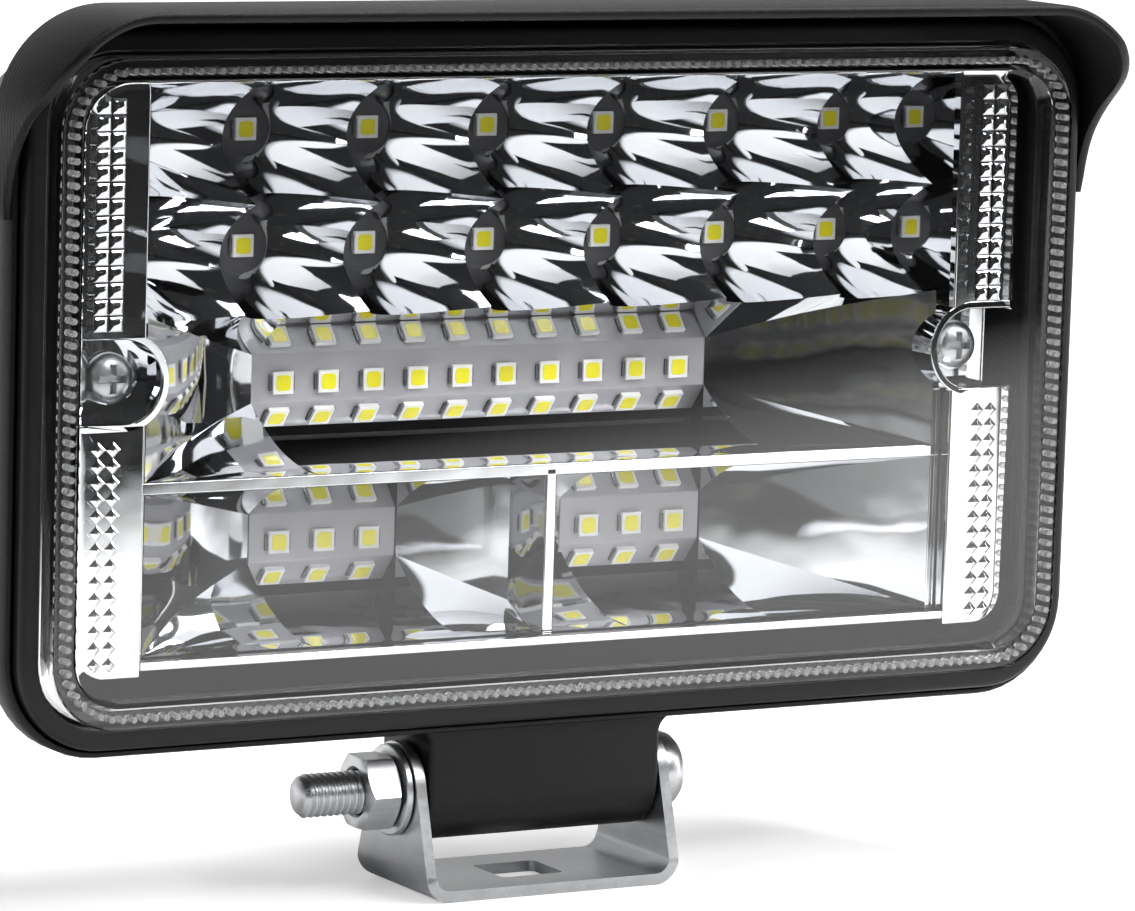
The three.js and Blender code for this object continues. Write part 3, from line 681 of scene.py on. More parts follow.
shaded_cup_mask = finish("grey_solder_mask_painted_shade", painted_shade_mask, {"Metallic": 0.25, "Coat Weight": 0.2})
plate = part(
    "cup_light_board",
    *skin([round_loop(61.5, 7.0, 39.4, 1.0, y, 3) for y in (CUP_BOARD_FRONT, CUP_BOARD_FRONT + 1.5)]),
    shaded_cup_mask, LAMP,
)
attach(plate, "lamp")
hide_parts("cup_led_board")

# ------------------------------------------------------------------ light packages
# Each light source is a 3 mm square white package with a yellow phosphor window, soldered at
# its two ends. Ten and three stand in a row on each face of a bar, and one behind each cup.

LIGHT_PITCH, LIGHT_WIDTH, LIGHT_HEIGHT, LIGHT_WINDOW = 6.83, 3.0, 0.7, 2.15


def white_body(place):
    shade = place.noise(900.0)
    return {
        "Base Color": shade.blend((0.88, 0.88, 0.86), (0.95, 0.95, 0.93)),
        "Roughness": 0.35 + shade * 0.15,
    }


def yellow_window(place):
    grain = place.noise(2200.0, 3.0)
    return {
        "Base Color": grain.blend((0.90, 0.80, 0.004), (0.98, 0.90, 0.02)),
        "Roughness": 0.25 + grain * 0.2,
        "Normal": grain.bump(0.02),
    }


def tin(place):
    grain = place.noise(3000.0)
    return {
        "Base Color": grain.blend((0.10, 0.10, 0.11), (0.32, 0.32, 0.34)),
        "Roughness": 0.3 + grain * 0.2,
    }


package_white = finish("white_light_package", white_body, {})
phosphor = finish("yellow_phosphor", yellow_window, {"Coat Weight": 0.6, "Coat Roughness": 0.1})
solder = finish("solder", tin, {"Metallic": 0.9})


def light_row_tree(sizes):
    """A row along x of square packages that face the front, all tilted alike."""
    tree, size = geometry_tree("light_row", sizes)
    width, height, pitch = size["Width"], size["Height"], size["Pitch"]
    cube = width.node("GeometryNodeMeshCube", {}, {"Size": combined(width, height, width)})
    body = coated(cube, package_white)
    cap = width.node("GeometryNodeMeshCylinder", {}, {"Vertices": 16, "Radius": 1.0, "Depth": 0.12})
    x, y, z = cap.node("GeometryNodeInputPosition").axes()
    half = size["Window"] / 2
    across, up = (number.by("SIGN") * abs(number) ** 0.42 * half for number in (x, y))
    spot = combined(across, z - height / 2, up)
    squared = cap.node("GeometryNodeSetPosition", {}, {"Geometry": cap, "Position": spot})
    window = coated(squared, phosphor)
    pads = []
    for side in (-1, 1):
        pad = width.node("GeometryNodeMeshCube", {}, {"Size": combined(0.42, 0.3, width * 0.72)})
        place = combined((width / 2 + 0.2) * side, height / 2 - 0.15, 0.0)
        moved = pad.node("GeometryNodeTransform", {}, {"Geometry": pad, "Translation": place})
        pads.append(coated(moved, solder))
    package = body.node("GeometryNodeJoinGeometry", {}, {0: [body, window, *pads]})
    start = combined((size["Count"] - 1) * pitch / -2 + size["X"], size["Y"], size["Z"])
    close_tree(in_a_row(package, size["Count"], pitch, start, combined(size["Tilt"], 0.0, 0.0)))
    return tree


def united(name, things):
    """Several pieces of one finish set as one object."""
    whole = bmesh.new()
    for thing in things:
        whole.from_mesh(thing.data)
    mesh = bpy.data.meshes.new(name)
    whole.to_mesh(mesh)
    whole.free()
    for material in things[0].data.materials:
        mesh.materials.append(material)
    result = bpy.data.objects.new(name, mesh)
    bpy.context.scene.collection.objects.link(result)
    for thing in things:
        bpy.data.objects.remove(thing)
    return result


light_sizes = {
    "Count": 1, "Width": LIGHT_WIDTH, "Height": LIGHT_HEIGHT, "Window": LIGHT_WINDOW,
    "Pitch": LIGHT_PITCH, "X": 0.0, "Y": 0.0, "Z": 0.0, "Tilt": 0.0,
}
light_tree = light_row_tree(light_sizes)


def light_row(count, pitch, x, y, z, tilt=0.0):
    sizes = dict(light_sizes, Count=count, Pitch=pitch, X=x, Y=y, Z=z, Tilt=tilt)
    return grown("row", light_tree, sizes, LAMP)


half_height, bar_tilt = LIGHT_HEIGHT / 2, math.radians(BAR_TILT)
side_y = BAR_FACE + BAR_SIDE / 2 * math.sin(bar_tilt)
side_z = BAR_HALF_FACE + BAR_SIDE / 2 * math.cos(bar_tilt)
out_y, out_z = half_height * math.cos(bar_tilt), half_height * math.sin(bar_tilt)
for name, x, z, count, half_length in BARS:
    rows = [light_row(count, LIGHT_PITCH, x, BAR_FACE - half_height, z)]
    for side in (-1, 1):
        height = z + BAR_RISE + side * (side_z + out_z)
        rows.append(light_row(count, LIGHT_PITCH, x, side_y - out_y, height, -side * bar_tilt))
    lights = united(f"{name}_lights", rows)
    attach(lights, "lamp")
    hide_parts(f"{name}_led_bar")
rows = [light_row(7, CUP_X[1] - CUP_X[0], 0.0, CUP_BOARD_FRONT - half_height, z) for z in CUP_Z]
cup_lights = united("cup_lights", rows)
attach(cup_lights, "lamp")
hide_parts("cup_led_board")

# ------------------------------------------------------------------ reflector cups
# The upper half of the moulded reflector is two rows of seven parabolic cups that run into
# each other along sharp ridges. The plastic is metallised to a mirror and lacquered.


def mirror_coat(place):
    haze = place.noise(45.0, 3.0)
    return {
        "Base Color": haze.blend((0.80, 0.81, 0.83), (0.90, 0.91, 0.93)),
        "Roughness": 0.025 + haze * 0.03,
        "Normal": place.noise(120.0, 1.0).bump(0.05),
    }


chrome = finish("mirror_chrome", mirror_coat, {"Metallic": 1.0})

CUP_FOCAL, CUP_VERTEX, CUP_HOLE = 5.96, 32.2, 3.7
CUP_WALL_X, CUP_TOP, CUP_RIDGE = 62.0, 39.0, 23.5
ROOF_FRONT, ROOF_Z, ROOF_SLOPE = 9.0, 9.2, 0.2054  # the wide trough's roof, which cuts the lower cups


def zigzag(wire):
    """A number that goes from 1 to -1 and back once in every four, resting at each end."""
    turn = abs(wire.by("FLOORED_MODULO", 4.0) - 2.0) - 1.0
    return (turn * 2.0).least(1.0).most(-1.0)


def unit_grid(wire, columns, rows):
    """A flat grid, and two numbers that go from 0 to 1 along it and up it."""
    sides = {"Size X": 1.0, "Size Y": 1.0, "Vertices X": columns, "Vertices Y": rows}
    grid = wire.node("GeometryNodeMeshGrid", {}, sides)
    u, v, _ = grid.node("GeometryNodeInputPosition").axes()
    return grid, u + 0.5, v + 0.5


def cup_tree(sizes):
    """A row of parabolic cups, each from its light's hole out to a four-sided edge."""
    tree, size = geometry_tree("reflector_cups", sizes)
    grid, u, v = unit_grid(size["Left"], 97, 13)
    around, out = u * 4.0, v
    edge_x, edge_z = zigzag(around), zigzag(around - 1.0)
    right, upper = edge_x.over(0.0), edge_z.over(0.0)
    width = right * size["Right"] + (1 - right) * size["Left"]
    height = upper * size["Top"] + (1 - upper) * size["Bottom"]
    dx, dz = edge_x * width, edge_z * height
    reach = (dx * dx + dz * dz) ** 0.5
    across, rise = dx / reach, dz / reach
    root = (rise * rise + 4 * size["Bend"] * size["Drop"]) ** 0.5
    roof = 2 * size["Drop"] / (root - rise + 0.00001)
    cut = roof.least(width / (abs(across) + 0.00001))
    lower = (1 - upper) * size["Bend"].over(0.0)
    edge = lower * cut + (1 - lower) * reach
    radius = size["Hole"] + (edge - size["Hole"]) * out
    depth = size["Vertex"] - radius * radius / size["Focal"]
    spot = combined(across * radius, depth, rise * radius)
    cup = grid.node("GeometryNodeSetPosition", {}, {"Geometry": grid, "Position": spot})
    closed = cup.node("GeometryNodeMergeByDistance", {}, {"Geometry": cup, "Distance": 0.002})
    start = combined(size["First"], 0.0, size["Height"])
    close_tree(coated(in_a_row(closed, size["Count"], size["Pitch"], start), chrome))
    return tree


cup_pitch = CUP_X[1] - CUP_X[0]
cup_half, cup_end = cup_pitch / 2, CUP_WALL_X - CUP_X[6]
bend = ROOF_SLOPE / CUP_FOCAL
drop = CUP_Z[1] - (ROOF_Z - ROOF_SLOPE * (CUP_VERTEX - ROOF_FRONT))


def roof_fall(dx):
    """How far under the lower lights a cup meets the trough's roof, dx to one side."""
    return (math.sqrt(1 - 4 * bend * (bend * dx * dx - drop)) - 1) / (2 * bend)


cup_sizes = {
    "Count": 5, "Pitch": cup_pitch, "First": CUP_X[1], "Height": CUP_Z[0],
    "Left": cup_half, "Right": cup_half, "Top": CUP_TOP - CUP_Z[0], "Bottom": CUP_Z[0] - CUP_RIDGE,
    "Bend": 0.0, "Drop": 1.0, "Hole": CUP_HOLE, "Vertex": CUP_VERTEX, "Focal": CUP_FOCAL,
}
lower_row = {
    "Height": CUP_Z[1], "Top": CUP_RIDGE - CUP_Z[1], "Bottom": roof_fall(cup_half),
    "Bend": bend, "Drop": drop,
}
left_end = {"Count": 1, "First": CUP_X[0], "Left": cup_end}
right_end = {"Count": 1, "First": CUP_X[6], "Right": cup_end}
cup_maker = cup_tree(cup_sizes)
patches = []
for row in ({}, lower_row):
    for ends in ({}, left_end, right_end):
        patches.append(grown("cups", cup_maker, {**cup_sizes, **row, **ends}, LAMP, 30))
cups = united("reflector_cups", patches)
if sum(face.normal.y * face.area for face in cups.data.polygons) > 0:
    cups.data.flip_normals()  # the mirror is the front
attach(cups, "lamp")
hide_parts("reflector")

# ------------------------------------------------------------------ reflector troughs
# Under the cups the same moulding forms one wide trough and two small ones. Each opens out from
# its light bar: a curved floor and roof, a corner piece beside each, and two flared ends.

TROUGH_FRONT, TROUGH_BACK, LIP_BACK, END_HOLLOW = 9.0, 28.8, 14.0, 2.8
TROUGHS = [  # middle, bar's half length, outer ends, fold heights, front heights, focus of the floor
    (0.0, 35.3, (-60.4, 60.4), (-5.5, 1.1), (-12.3, 9.2), (32.3, -9.9)),
    (-24.0, 11.3, (-60.4, 5.7), (-27.1, -20.5), (-35.2, -14.0), (32.2, -31.3)),
    (24.0, 11.3, (-5.7, 60.4), (-27.1, -20.5), (-35.2, -14.0), (32.2, -31.3)),
]
AXIS_OUT, AXIS_UP = -0.9875, 0.1575  # the way a floor's parabola faces
FLOOR_BACK, ROOF_BACK, ROOF_HALF, ROOF_COLUMNS = 32.2, 31.4, 60.39, 198
DIVIDER_SIDE = 0.83


def mixed(a, b, share):
    return a + (b - a) * share


def parabola(focus, front):
    """A floor's height at a depth: a parabola about a focus, with a flat lip at the front."""
    dy, dz = LIP_BACK - focus[0], front + 0.35 - focus[1]
    reach = math.hypot(dy, dz) - (dy * AXIS_OUT + dz * AXIS_UP)

    def height(y):
        if y < LIP_BACK:
            return mixed(front, front + 0.35, (y - TROUGH_FRONT) / (LIP_BACK - TROUGH_FRONT))
        along = (y - focus[0]) * AXIS_OUT + reach
        a, b, c = 1 - AXIS_UP ** 2, 2 * AXIS_UP * along, (y - focus[0]) ** 2 - along ** 2
        return focus[1] - (math.sqrt(b * b - 4 * a * c) - b) / (2 * a)

    return height


def sheet(columns):
    """A mirror sheet from columns of points, side by side."""
    rows = len(columns[0])
    faces = []
    for i in range(len(columns) - 1):
        for k in range(rows - 1):
            a, b = i * rows + k, (i + 1) * rows + k
            faces.append((a, a + 1, b + 1, b))
    return [point for column in columns for point in column], faces


def end_mitre(middle, half, end, low, front, share):
    """Where a flared end meets a corner piece, from the bar's fold out to the front."""
    x = mixed(middle + half, end, share)
    x = max(x, DIVIDER_SIDE) if middle > 0 else min(x, -DIVIDER_SIDE) if middle < 0 else x
    hollow = END_HOLLOW * math.sin(math.pi * share)
    return x, mixed(TROUGH_BACK, TROUGH_FRONT, share) + hollow, mixed(low, front, share)


def floor_sheets(middle, half, ends, low, front, height, back):
    """A floor's curved middle, its two corner pieces, and the step between them."""
    depths = [mixed(back, TROUGH_FRONT, (k / 24) ** 1.6 if k < 24 else 1.0) for k in range(25)]
    profile = [(y, height(y)) for y in depths]
    sheets = [sheet([[(x, y, z) for y, z in profile] for x in (middle - half, middle + half)])]
    for side, end in ((-1, ends[0]), (1, ends[1])):
        columns = []
        for i in range(15):
            x, y0, z0 = end_mitre(middle, side * half, end, low, front, i / 14)
            column = []
            for k in range(17):
                share = k / 16
                fall = 1 - (1 - share) ** 2.2
                column.append((x, mixed(y0, TROUGH_FRONT, share), mixed(z0, front, fall)))
            columns.append(column)
        sheets.append(sheet(columns))
        edge = columns[0]
        sheets.append(sheet([edge, [(x, y, min(z, height(y))) for x, y, z in edge]]))
    return sheets


def end_sheet(middle, side_half, end, lows, fronts):
    """A flared end, hollowed between the bar and the front."""
    columns = []
    for i in range(15):
        bottom = end_mitre(middle, side_half, end, lows[0], fronts[0], i / 14)
        top = end_mitre(middle, side_half, end, lows[1], fronts[1], i / 14)
        columns.append([(bottom[0], bottom[1], mixed(bottom[2], top[2], k / 8)) for k in range(9)])
    return sheet(columns)


def roof_sheet():
    """The wide trough's roof, from the scalloped edge of the cups back to the bar."""
    _, half, ends, folds, fronts, _ = TROUGHS[0]
    points = []
    for i in range(ROOF_COLUMNS + 1):
        x = -ROOF_HALF + 2 * ROOF_HALF * i / ROOF_COLUMNS
        nearest = min(CUP_X, key=lambda cup: abs(x - cup))
        z = CUP_Z[1] - roof_fall(abs(x - nearest))
        front = ROOF_FRONT + (ROOF_Z - z) / ROOF_SLOPE
        share = max(0.0, (abs(x) - half) / (ends[1] - half))
        mitre = mixed(TROUGH_BACK, TROUGH_FRONT, share) + END_HOLLOW * math.sin(math.pi * share)
        back = max(front + 0.01, ROOF_BACK if share == 0 else mitre)
        if share == 0:
            rear = ROOF_Z - ROOF_SLOPE * (back - ROOF_FRONT)
        else:
            rear = min(mixed(folds[1], fronts[1], share), z)
        points += [(x, front, z), (x, back, rear)]
    return points, [(2 * i, 2 * i + 1, 2 * i + 3, 2 * i + 2) for i in range(ROOF_COLUMNS)]


sheets = []
for middle, half, ends, folds, fronts, focus in TROUGHS:
    floor_height = parabola(focus, fronts[0])
    around = floor_sheets(middle, half, ends, folds[0], fronts[0], floor_height, FLOOR_BACK)
    if middle:
        flip = folds[0] + folds[1]
        roof_height = parabola(focus, flip - fronts[1])
        roof = floor_sheets(middle, half, ends, folds[0], flip - fronts[1], roof_height, FLOOR_BACK)
        around += [([(x, y, flip - z) for x, y, z in points], faces) for points, faces in roof]
    else:
        around.append(roof_sheet())
    for side, end in ((-1, ends[0]), (1, ends[1])):
        around.append(end_sheet(middle, side * half, end, folds, fronts))
    sheets += [(points, faces, (middle, 0.0, (folds[0] + folds[1]) / 2)) for points, faces in around]


def lit_side(points, faces, middle):
    """Turns an open sheet's faces towards a point in front of the trough's middle."""
    lean = 0.0
    for face in faces:
        a, b, c = (Vector(points[i]) for i in face[:3])
        lean += (b - a).cross(c - a).dot(Vector(middle) - a)
    return (points, faces) if lean > 0 else (points, [face[::-1] for face in faces])


trough_points, trough_faces = [], []
for points, faces, target in sheets:
    points, faces = lit_side(points, faces, target)
    trough_faces += [tuple(i + len(trough_points) for i in face) for face in faces]
    trough_points += points
troughs = part("reflector_troughs", trough_points, trough_faces, chrome, LAMP, 20, closed=False)
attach(troughs, "lamp")
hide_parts("reflector")

# ------------------------------------------------------------------ reflector face
# The front of the moulding: a frame with two broad side strips, the walls behind it, the bars
# between the troughs, and a pocket in each side for a fixing screw.

FACE_FRONT, FACE_BACK = 6.5, 8.0
FACE_X, FACE_TOP, FACE_BOTTOM = 71.2, 39.5, -37.4
WINDOW_X, WINDOW_TOP, WINDOW_BOTTOM = 61.8, 38.9, -35.4
POCKET_X, POCKET_Z, POCKET_OUT, POCKET_IN, POCKET_FLOOR = 64.9, 1.2, 6.6, 5.5, 12.0


def prism(outline, y0, y1):
    """An x-z outline drawn out along y."""
    return skin([[(x, y, z) for x, z in outline] for y in (y0, y1)])


def block(x0, x1, y0, y1, z0, z1):
    return prism([(x0, z0), (x1, z0), (x1, z1), (x0, z1)], y0, y1)


def arc(x, z, radius, start, stop, steps=12):
    turns = [math.radians(start + (stop - start) * k / steps) for k in range(steps + 1)]
    return [(x + radius * math.cos(t), z + radius * math.sin(t)) for t in turns]


def gathered(shapes):
    points, faces = [], []
    for more_points, more_faces in shapes:
        faces += [tuple(i + len(points) for i in face) for face in more_faces]
        points += more_points
    return points, faces


def side_strip(side, upper):
    """A side strip's outline: a round outer corner, and an end that stops at the screw's pocket."""
    end = POCKET_Z + (POCKET_IN if upper else -POCKET_IN)
    far = FACE_TOP if upper else FACE_BOTTOM
    turn = 1 if upper else -1
    outline = [(WINDOW_X, end), (WINDOW_X, far), (FACE_X - 4.5, far)]
    outline += arc(FACE_X - 4.5, far - turn * 4.5, 4.5, 90 * turn, 0, 10)
    outline += [(FACE_X, end)]
    return [(side * x, z) for x, z in outline]


def pocket_wall(side):
    """The pocket's wall: round towards the middle and straight out to the side."""
    outer = arc(POCKET_X, POCKET_Z, POCKET_OUT, 90, 270, 28)
    inner = arc(POCKET_X, POCKET_Z, POCKET_IN, 270, 90, 28)
    low, high = POCKET_Z - POCKET_OUT, POCKET_Z + POCKET_OUT
    outline = [(FACE_X, high), *outer, (FACE_X, low), (FACE_X, low + 1.1), *inner, (FACE_X, high - 1.1)]
    return [(side * x, z) for x, z in outline]


def pocket_floor(side):
    far, half = FACE_X - 0.4, 6.0
    outline = [(far, POCKET_Z + half), *arc(POCKET_X, POCKET_Z, half, 90, 270, 24), (far, POCKET_Z - half)]
    return [(side * x, z) for x, z in outline]


face_shapes = [
    block(-WINDOW_X, WINDOW_X, FACE_FRONT, FACE_BACK, WINDOW_TOP, FACE_TOP),
    block(-WINDOW_X, WINDOW_X, FACE_FRONT, TROUGH_FRONT + 1, WINDOW_BOTTOM - 1.2, WINDOW_BOTTOM),
    block(-WINDOW_X, WINDOW_X, TROUGH_FRONT - 0.1, TROUGH_FRONT + 1.4, -14.0, -12.35),
    block(-0.8, 0.8, TROUGH_FRONT - 0.1, TROUGH_FRONT + 9, WINDOW_BOTTOM, -13.0),
    block(-WINDOW_X, WINDOW_X, FACE_FRONT + 1, 24.0, CUP_TOP - 0.02, CUP_TOP + 0.9),
]
for side in (-1, 1):
    near, far = sorted((side * 60.4, side * WINDOW_X))
    inner, outer = sorted((side * CUP_WALL_X, side * (CUP_WALL_X + 1)))
    face_shapes += [
        prism(side_strip(side, True), FACE_FRONT, FACE_BACK),
        prism(side_strip(side, False), FACE_FRONT, FACE_BACK),
        prism(pocket_wall(side), FACE_FRONT, POCKET_FLOOR + 0.6),
        prism(pocket_floor(side), POCKET_FLOOR, POCKET_FLOOR + 1),
        block(near, far, TROUGH_FRONT, TROUGH_FRONT + 1.2, WINDOW_BOTTOM, POCKET_Z - POCKET_OUT + 0.9),
        block(inner, outer, FACE_FRONT + 0.3, 24.0, POCKET_Z + POCKET_OUT - 0.4, FACE_TOP - 0.1),
        block(
            inner, outer, FACE_FRONT + 0.3, TROUGH_FRONT + 2, FACE_BOTTOM + 2, POCKET_Z - POCKET_OUT + 0.4
        ),
    ]
face = part("reflector_face", *gathered(face_shapes), chrome, LAMP)
eased(face, 0.22, 2, 40)
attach(face, "lamp")
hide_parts("reflector")

# ------------------------------------------------------------------ prism cells
# Two columns of small raised cells are moulded into each side strip. They break up the light
# at the edge: blunt squares above the screws and narrow diamonds under them.

CELL_PITCH, CELL_X, UPPER_CELLS_Z, LOWER_CELLS_Z = 2.15, 67.3, 22.8, -21.4


def cell_tree(sizes):
    """Blunt pyramids in columns, standing towards the front."""
    tree, size = geometry_tree("prism_cells", sizes)
    grid = size["Pitch"].node(
        "GeometryNodeMeshGrid", {},
        {
            "Size X": (size["Columns"] - 1) * size["Pitch"], "Size Y": (size["Rows"] - 1) * size["Pitch"],
            "Vertices X": size["Columns"], "Vertices Y": size["Rows"],
        },
    )
    flat = grid.node("GeometryNodeInputPosition").axes()
    upright = combined(flat[0] + size["X"], size["Y"], flat[1] + size["Z"])
    places = grid.node("GeometryNodeSetPosition", {}, {"Geometry": grid, "Position": upright})
    cell = size["Sides"].node(
        "GeometryNodeMeshCone", {},
        {
            "Vertices": size["Sides"], "Radius Top": size["Radius"] * size["Blunt"],
            "Radius Bottom": size["Radius"], "Depth": size["Height"],
        },
    )
    turned_cell = cell.node(
        "GeometryNodeTransform", {},
        {
            "Geometry": cell, "Rotation": combined(math.pi / 2, size["Turn"], 0.0),
            "Scale": combined(1.0, 1.0, size["Squash"]),
        },
    )
    cells = places.node("GeometryNodeInstanceOnPoints", {}, {"Points": places, "Instance": turned_cell})
    close_tree(coated(cells, chrome))
    return tree


cell_sizes = {
    "Columns": 2, "Rows": 14, "Pitch": CELL_PITCH, "X": 0.0, "Y": FACE_FRONT, "Z": UPPER_CELLS_Z,
    "Sides": 4, "Radius": 1.42, "Blunt": 0.42, "Height": 0.42, "Turn": math.radians(45), "Squash": 0.92,
}
lower_sizes = dict(cell_sizes, Z=LOWER_CELLS_Z, Radius=1.05, Blunt=0.1, Turn=0.0, Squash=0.8)
cell_maker = cell_tree(cell_sizes)
cell_sets = []
for side in (-1, 1):
    for sizes in (cell_sizes, lower_sizes):
        cell_sets.append(grown("cells", cell_maker, dict(sizes, X=side * CELL_X), LAMP))
cells = united("reflector_prism_cells", cell_sets)
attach(cells, "lamp")
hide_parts("reflector")

# ------------------------------------------------------------------ reflector screws
# A zinc-plated pan-head screw with a cross recess holds each side of the reflector to a post
# in the housing.


def zinc_plate(place):
    grain = place.noise(1400.0, 4.0)
    brushed = place.stretched(1.0, 14.0, 1.0).noise(260.0, 3.0)
    return {
        "Base Color": (grain * 0.5 + brushed * 0.5).blend((0.52, 0.53, 0.55), (0.78, 0.79, 0.80)),
        "Roughness": 0.22 + grain * 0.14 + brushed * 0.08,
        "Normal": (grain + brushed).bump(0.012),
    }


zinc = finish("zinc_plate", zinc_plate, {"Metallic": 1.0})
SCREW = [  # radius and depth, from the middle of the head to the point
    (0.02, 9.5), (1.2, 9.54), (2.3, 9.78), (3.0, 10.25), (3.4, 11.0), (3.4, 11.5), (3.2, 11.7),
    (1.45, 11.7), (1.45, 23.0), (0.02, 24.5),
]
RECESS = [(1.9, 0.48), (0.48, 1.9)]  # half width and half height of the cross's two slots
for side, label in ((-1, "left"), (1, "right")):
    x, z = side * POCKET_X, POCKET_Z
    screw = part(f"reflector_screw_{label}_head", *turned(SCREW, x, z), zinc, LAMP)
    slots = [block(x - wide, x + wide, 8.5, 10.9, z - high, z + high) for wide, high in RECESS]
    drilled(screw, [part("recess", *slot, zinc, LAMP) for slot in slots])
    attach(screw, "lamp")
    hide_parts(f"reflector_screw_{label}")

# ------------------------------------------------------------------ lens
# One clear polycarbonate moulding: a flat plate with a skirt round its edge that is bonded
# into the bezel. Its border is recessed and carries fine ribs all the way round.


def clear(name, tint, roughness):
    """Clear plastic that lets the lights' rays straight through."""
    material = finish(name, lambda place: {"Roughness": roughness + place.noise(40.0) * 0.01}, {
        "Base Color": (*tint, 1.0), "Transmission Weight": 1.0, "IOR": 1.49, "Specular IOR Level": 0.25,
    })
    tree = material.node_tree
    body = Wire(tree, tree.nodes["Principled BSDF"].outputs[0])
    shadow = body.node("ShaderNodeLightPath", {}, {}, "Is Shadow Ray")
    through = body.node("ShaderNodeBsdfTransparent", {}, {"Color": (0.95, 0.95, 0.95, 1.0)})
    mixed_glass = body.node("ShaderNodeMixShader", {}, {0: shadow, 1: body, 2: through})
    tree.links.new(mixed_glass.socket, tree.nodes["Material Output"].inputs["Surface"])
    return material


polycarbonate = clear("clear_polycarbonate", (0.985, 0.99, 0.99), 0.01)
LENS_HALF, LENS_TALL, LENS_CORNER = 73.8, 40.4, 6.7
LENS_LOOPS = [  # offset from the plate's own edge, and depth
    (-1.2, 0.0), (-0.35, 0.0), (-0.2, 0.1), (-0.15, 0.5), (2.6, 0.5), (2.66, 0.12), (2.75, 0.1),
    (2.8, 0.3), (2.8, 6.2), (0.4, 6.2), (0.4, 2.6),
]


def lens_loop(offset, y):
    """A round-cornered outline that much outside the clear plate."""
    tall = LENS_TALL + offset
    return round_loop(LENS_HALF + offset, -tall, tall, LENS_CORNER + offset, y, 12)


lens = part("lens_cover", *skin([lens_loop(*row) for row in LENS_LOOPS]), polycarbonate, LAMP)
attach(lens, "lamp")
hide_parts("lens")


def frosted(place):
    grain = place.noise(900.0, 2.0)
    return {"Roughness": 0.12 + grain * 0.12, "Normal": grain.bump(0.01)}


rib_plastic = finish("clear_rib_plastic", frosted, {
    "Base Color": (0.90, 0.91, 0.92, 1.0), "Transmission Weight": 0.82, "IOR": 1.52,
})


def rib_tree(sizes):
    """Short ribs set across a round-cornered border at an even pitch."""
    tree, size = geometry_tree("lens_ribs", sizes)
    rounded = rounded_outline(size["Width"], size["Height"], size["Corner"], 24)
    border = {"Curve": rounded, "Count": size["Count"]}
    spots = rounded.node("GeometryNodeCurveToPoints", {"mode": "COUNT"}, border)
    turns = Wire(tree, spots.socket.node.outputs["Rotation"])
    bar = {"Vertices": 6, "Radius": size["Rib"], "Depth": size["Length"]}
    rib = size["Rib"].node("GeometryNodeMeshCylinder", {}, bar)
    quarter = (math.pi / 2, 0.0, 0.0)
    laid = rib.node("GeometryNodeTransform", {}, {"Geometry": rib, "Rotation": quarter})
    copies = {"Points": spots, "Instance": laid, "Rotation": turns}
    ribs = spots.node("GeometryNodeInstanceOnPoints", {}, copies)
    here = ribs.node("GeometryNodeRealizeInstances", {}, {0: ribs})
    stood = {"Geometry": here, "Rotation": quarter, "Translation": combined(0.0, size["Depth"], 0.0)}
    upright = here.node("GeometryNodeTransform", {}, stood)
    close_tree(coated(upright, rib_plastic))
    return tree


rib_sizes = {
    "Width": 150.0, "Height": 83.2, "Corner": 8.0, "Count": 290, "Rib": 0.46, "Length": 2.7,
    "Depth": 0.5,
}
ribs = grown("lens_ribs", rib_tree(rib_sizes), rib_sizes, LAMP)
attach(ribs, "lamp")
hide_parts("lens")

# ------------------------------------------------------------------ bezel
# A black moulded frame round the lens, with a round outer edge, bonded into the housing's lip
# with a fine groove left between the two.

BEZEL_HALF, BEZEL_BOTTOM, BEZEL_TOP, BEZEL_CORNER = 80.0, -46.3, 46.6, 12.0
BEZEL = [  # offset from the bezel's outer edge, and depth
    (-2.75, 8.2), (-2.75, 3.35), (-2.45, 3.0), (-1.0, 3.0), (-0.45, 3.12), (-0.12, 3.45),
    (0.0, 4.0), (0.0, 9.0), (-0.2, 9.2), (-5.8, 9.2), (-5.8, 8.3), (-5.6, 8.2),
]


def bezel_loop(offset, y):
    low, high = BEZEL_BOTTOM - offset, BEZEL_TOP + offset
    return round_loop(BEZEL_HALF + offset, low, high, BEZEL_CORNER + offset, y, 12)


bezel = part("bezel_frame", *skin([bezel_loop(*row) for row in BEZEL], closed=True), black_plastic, LAMP)
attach(bezel, "lamp")
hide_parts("bezel")

# ------------------------------------------------------------------ bracket
# A strip of 1.5 mm steel bent to a U and zinc plated. Its legs narrow to round tops on the
# pivot bolt, and its foot has a slot for the bolt that holds the lamp down.

STAND = Matrix.Scale(0.001, 4)  # mm from the middle of the foot's underside
PLATE, LEG_OUT, FOOT_HALF, BEND_OUT = 1.5, 19.5, 10.0, 3.6
AXIS_Z, LEG_TOP, SHOULDER, LEG_HOLE = 13.9, 6.5, 3.0, 3.3
SLOT_HALF, SLOT_DEPTH, SLOT_CORNER = 4.8, 4.3, 0.8


def leg_half(z):
    """Half the leg's depth at a height."""
    lean = math.atan2(FOOT_HALF - LEG_TOP, AXIS_Z - SHOULDER)
    join_z = AXIS_Z + LEG_TOP * math.sin(lean / 2)
    if z <= SHOULDER:
        return FOOT_HALF
    if z < join_z:
        return mixed(FOOT_HALF, LEG_TOP * math.cos(lean / 2), (z - SHOULDER) / (join_z - SHOULDER))
    return math.sqrt(max(LEG_TOP ** 2 - (z - AXIS_Z) ** 2, 0.0))


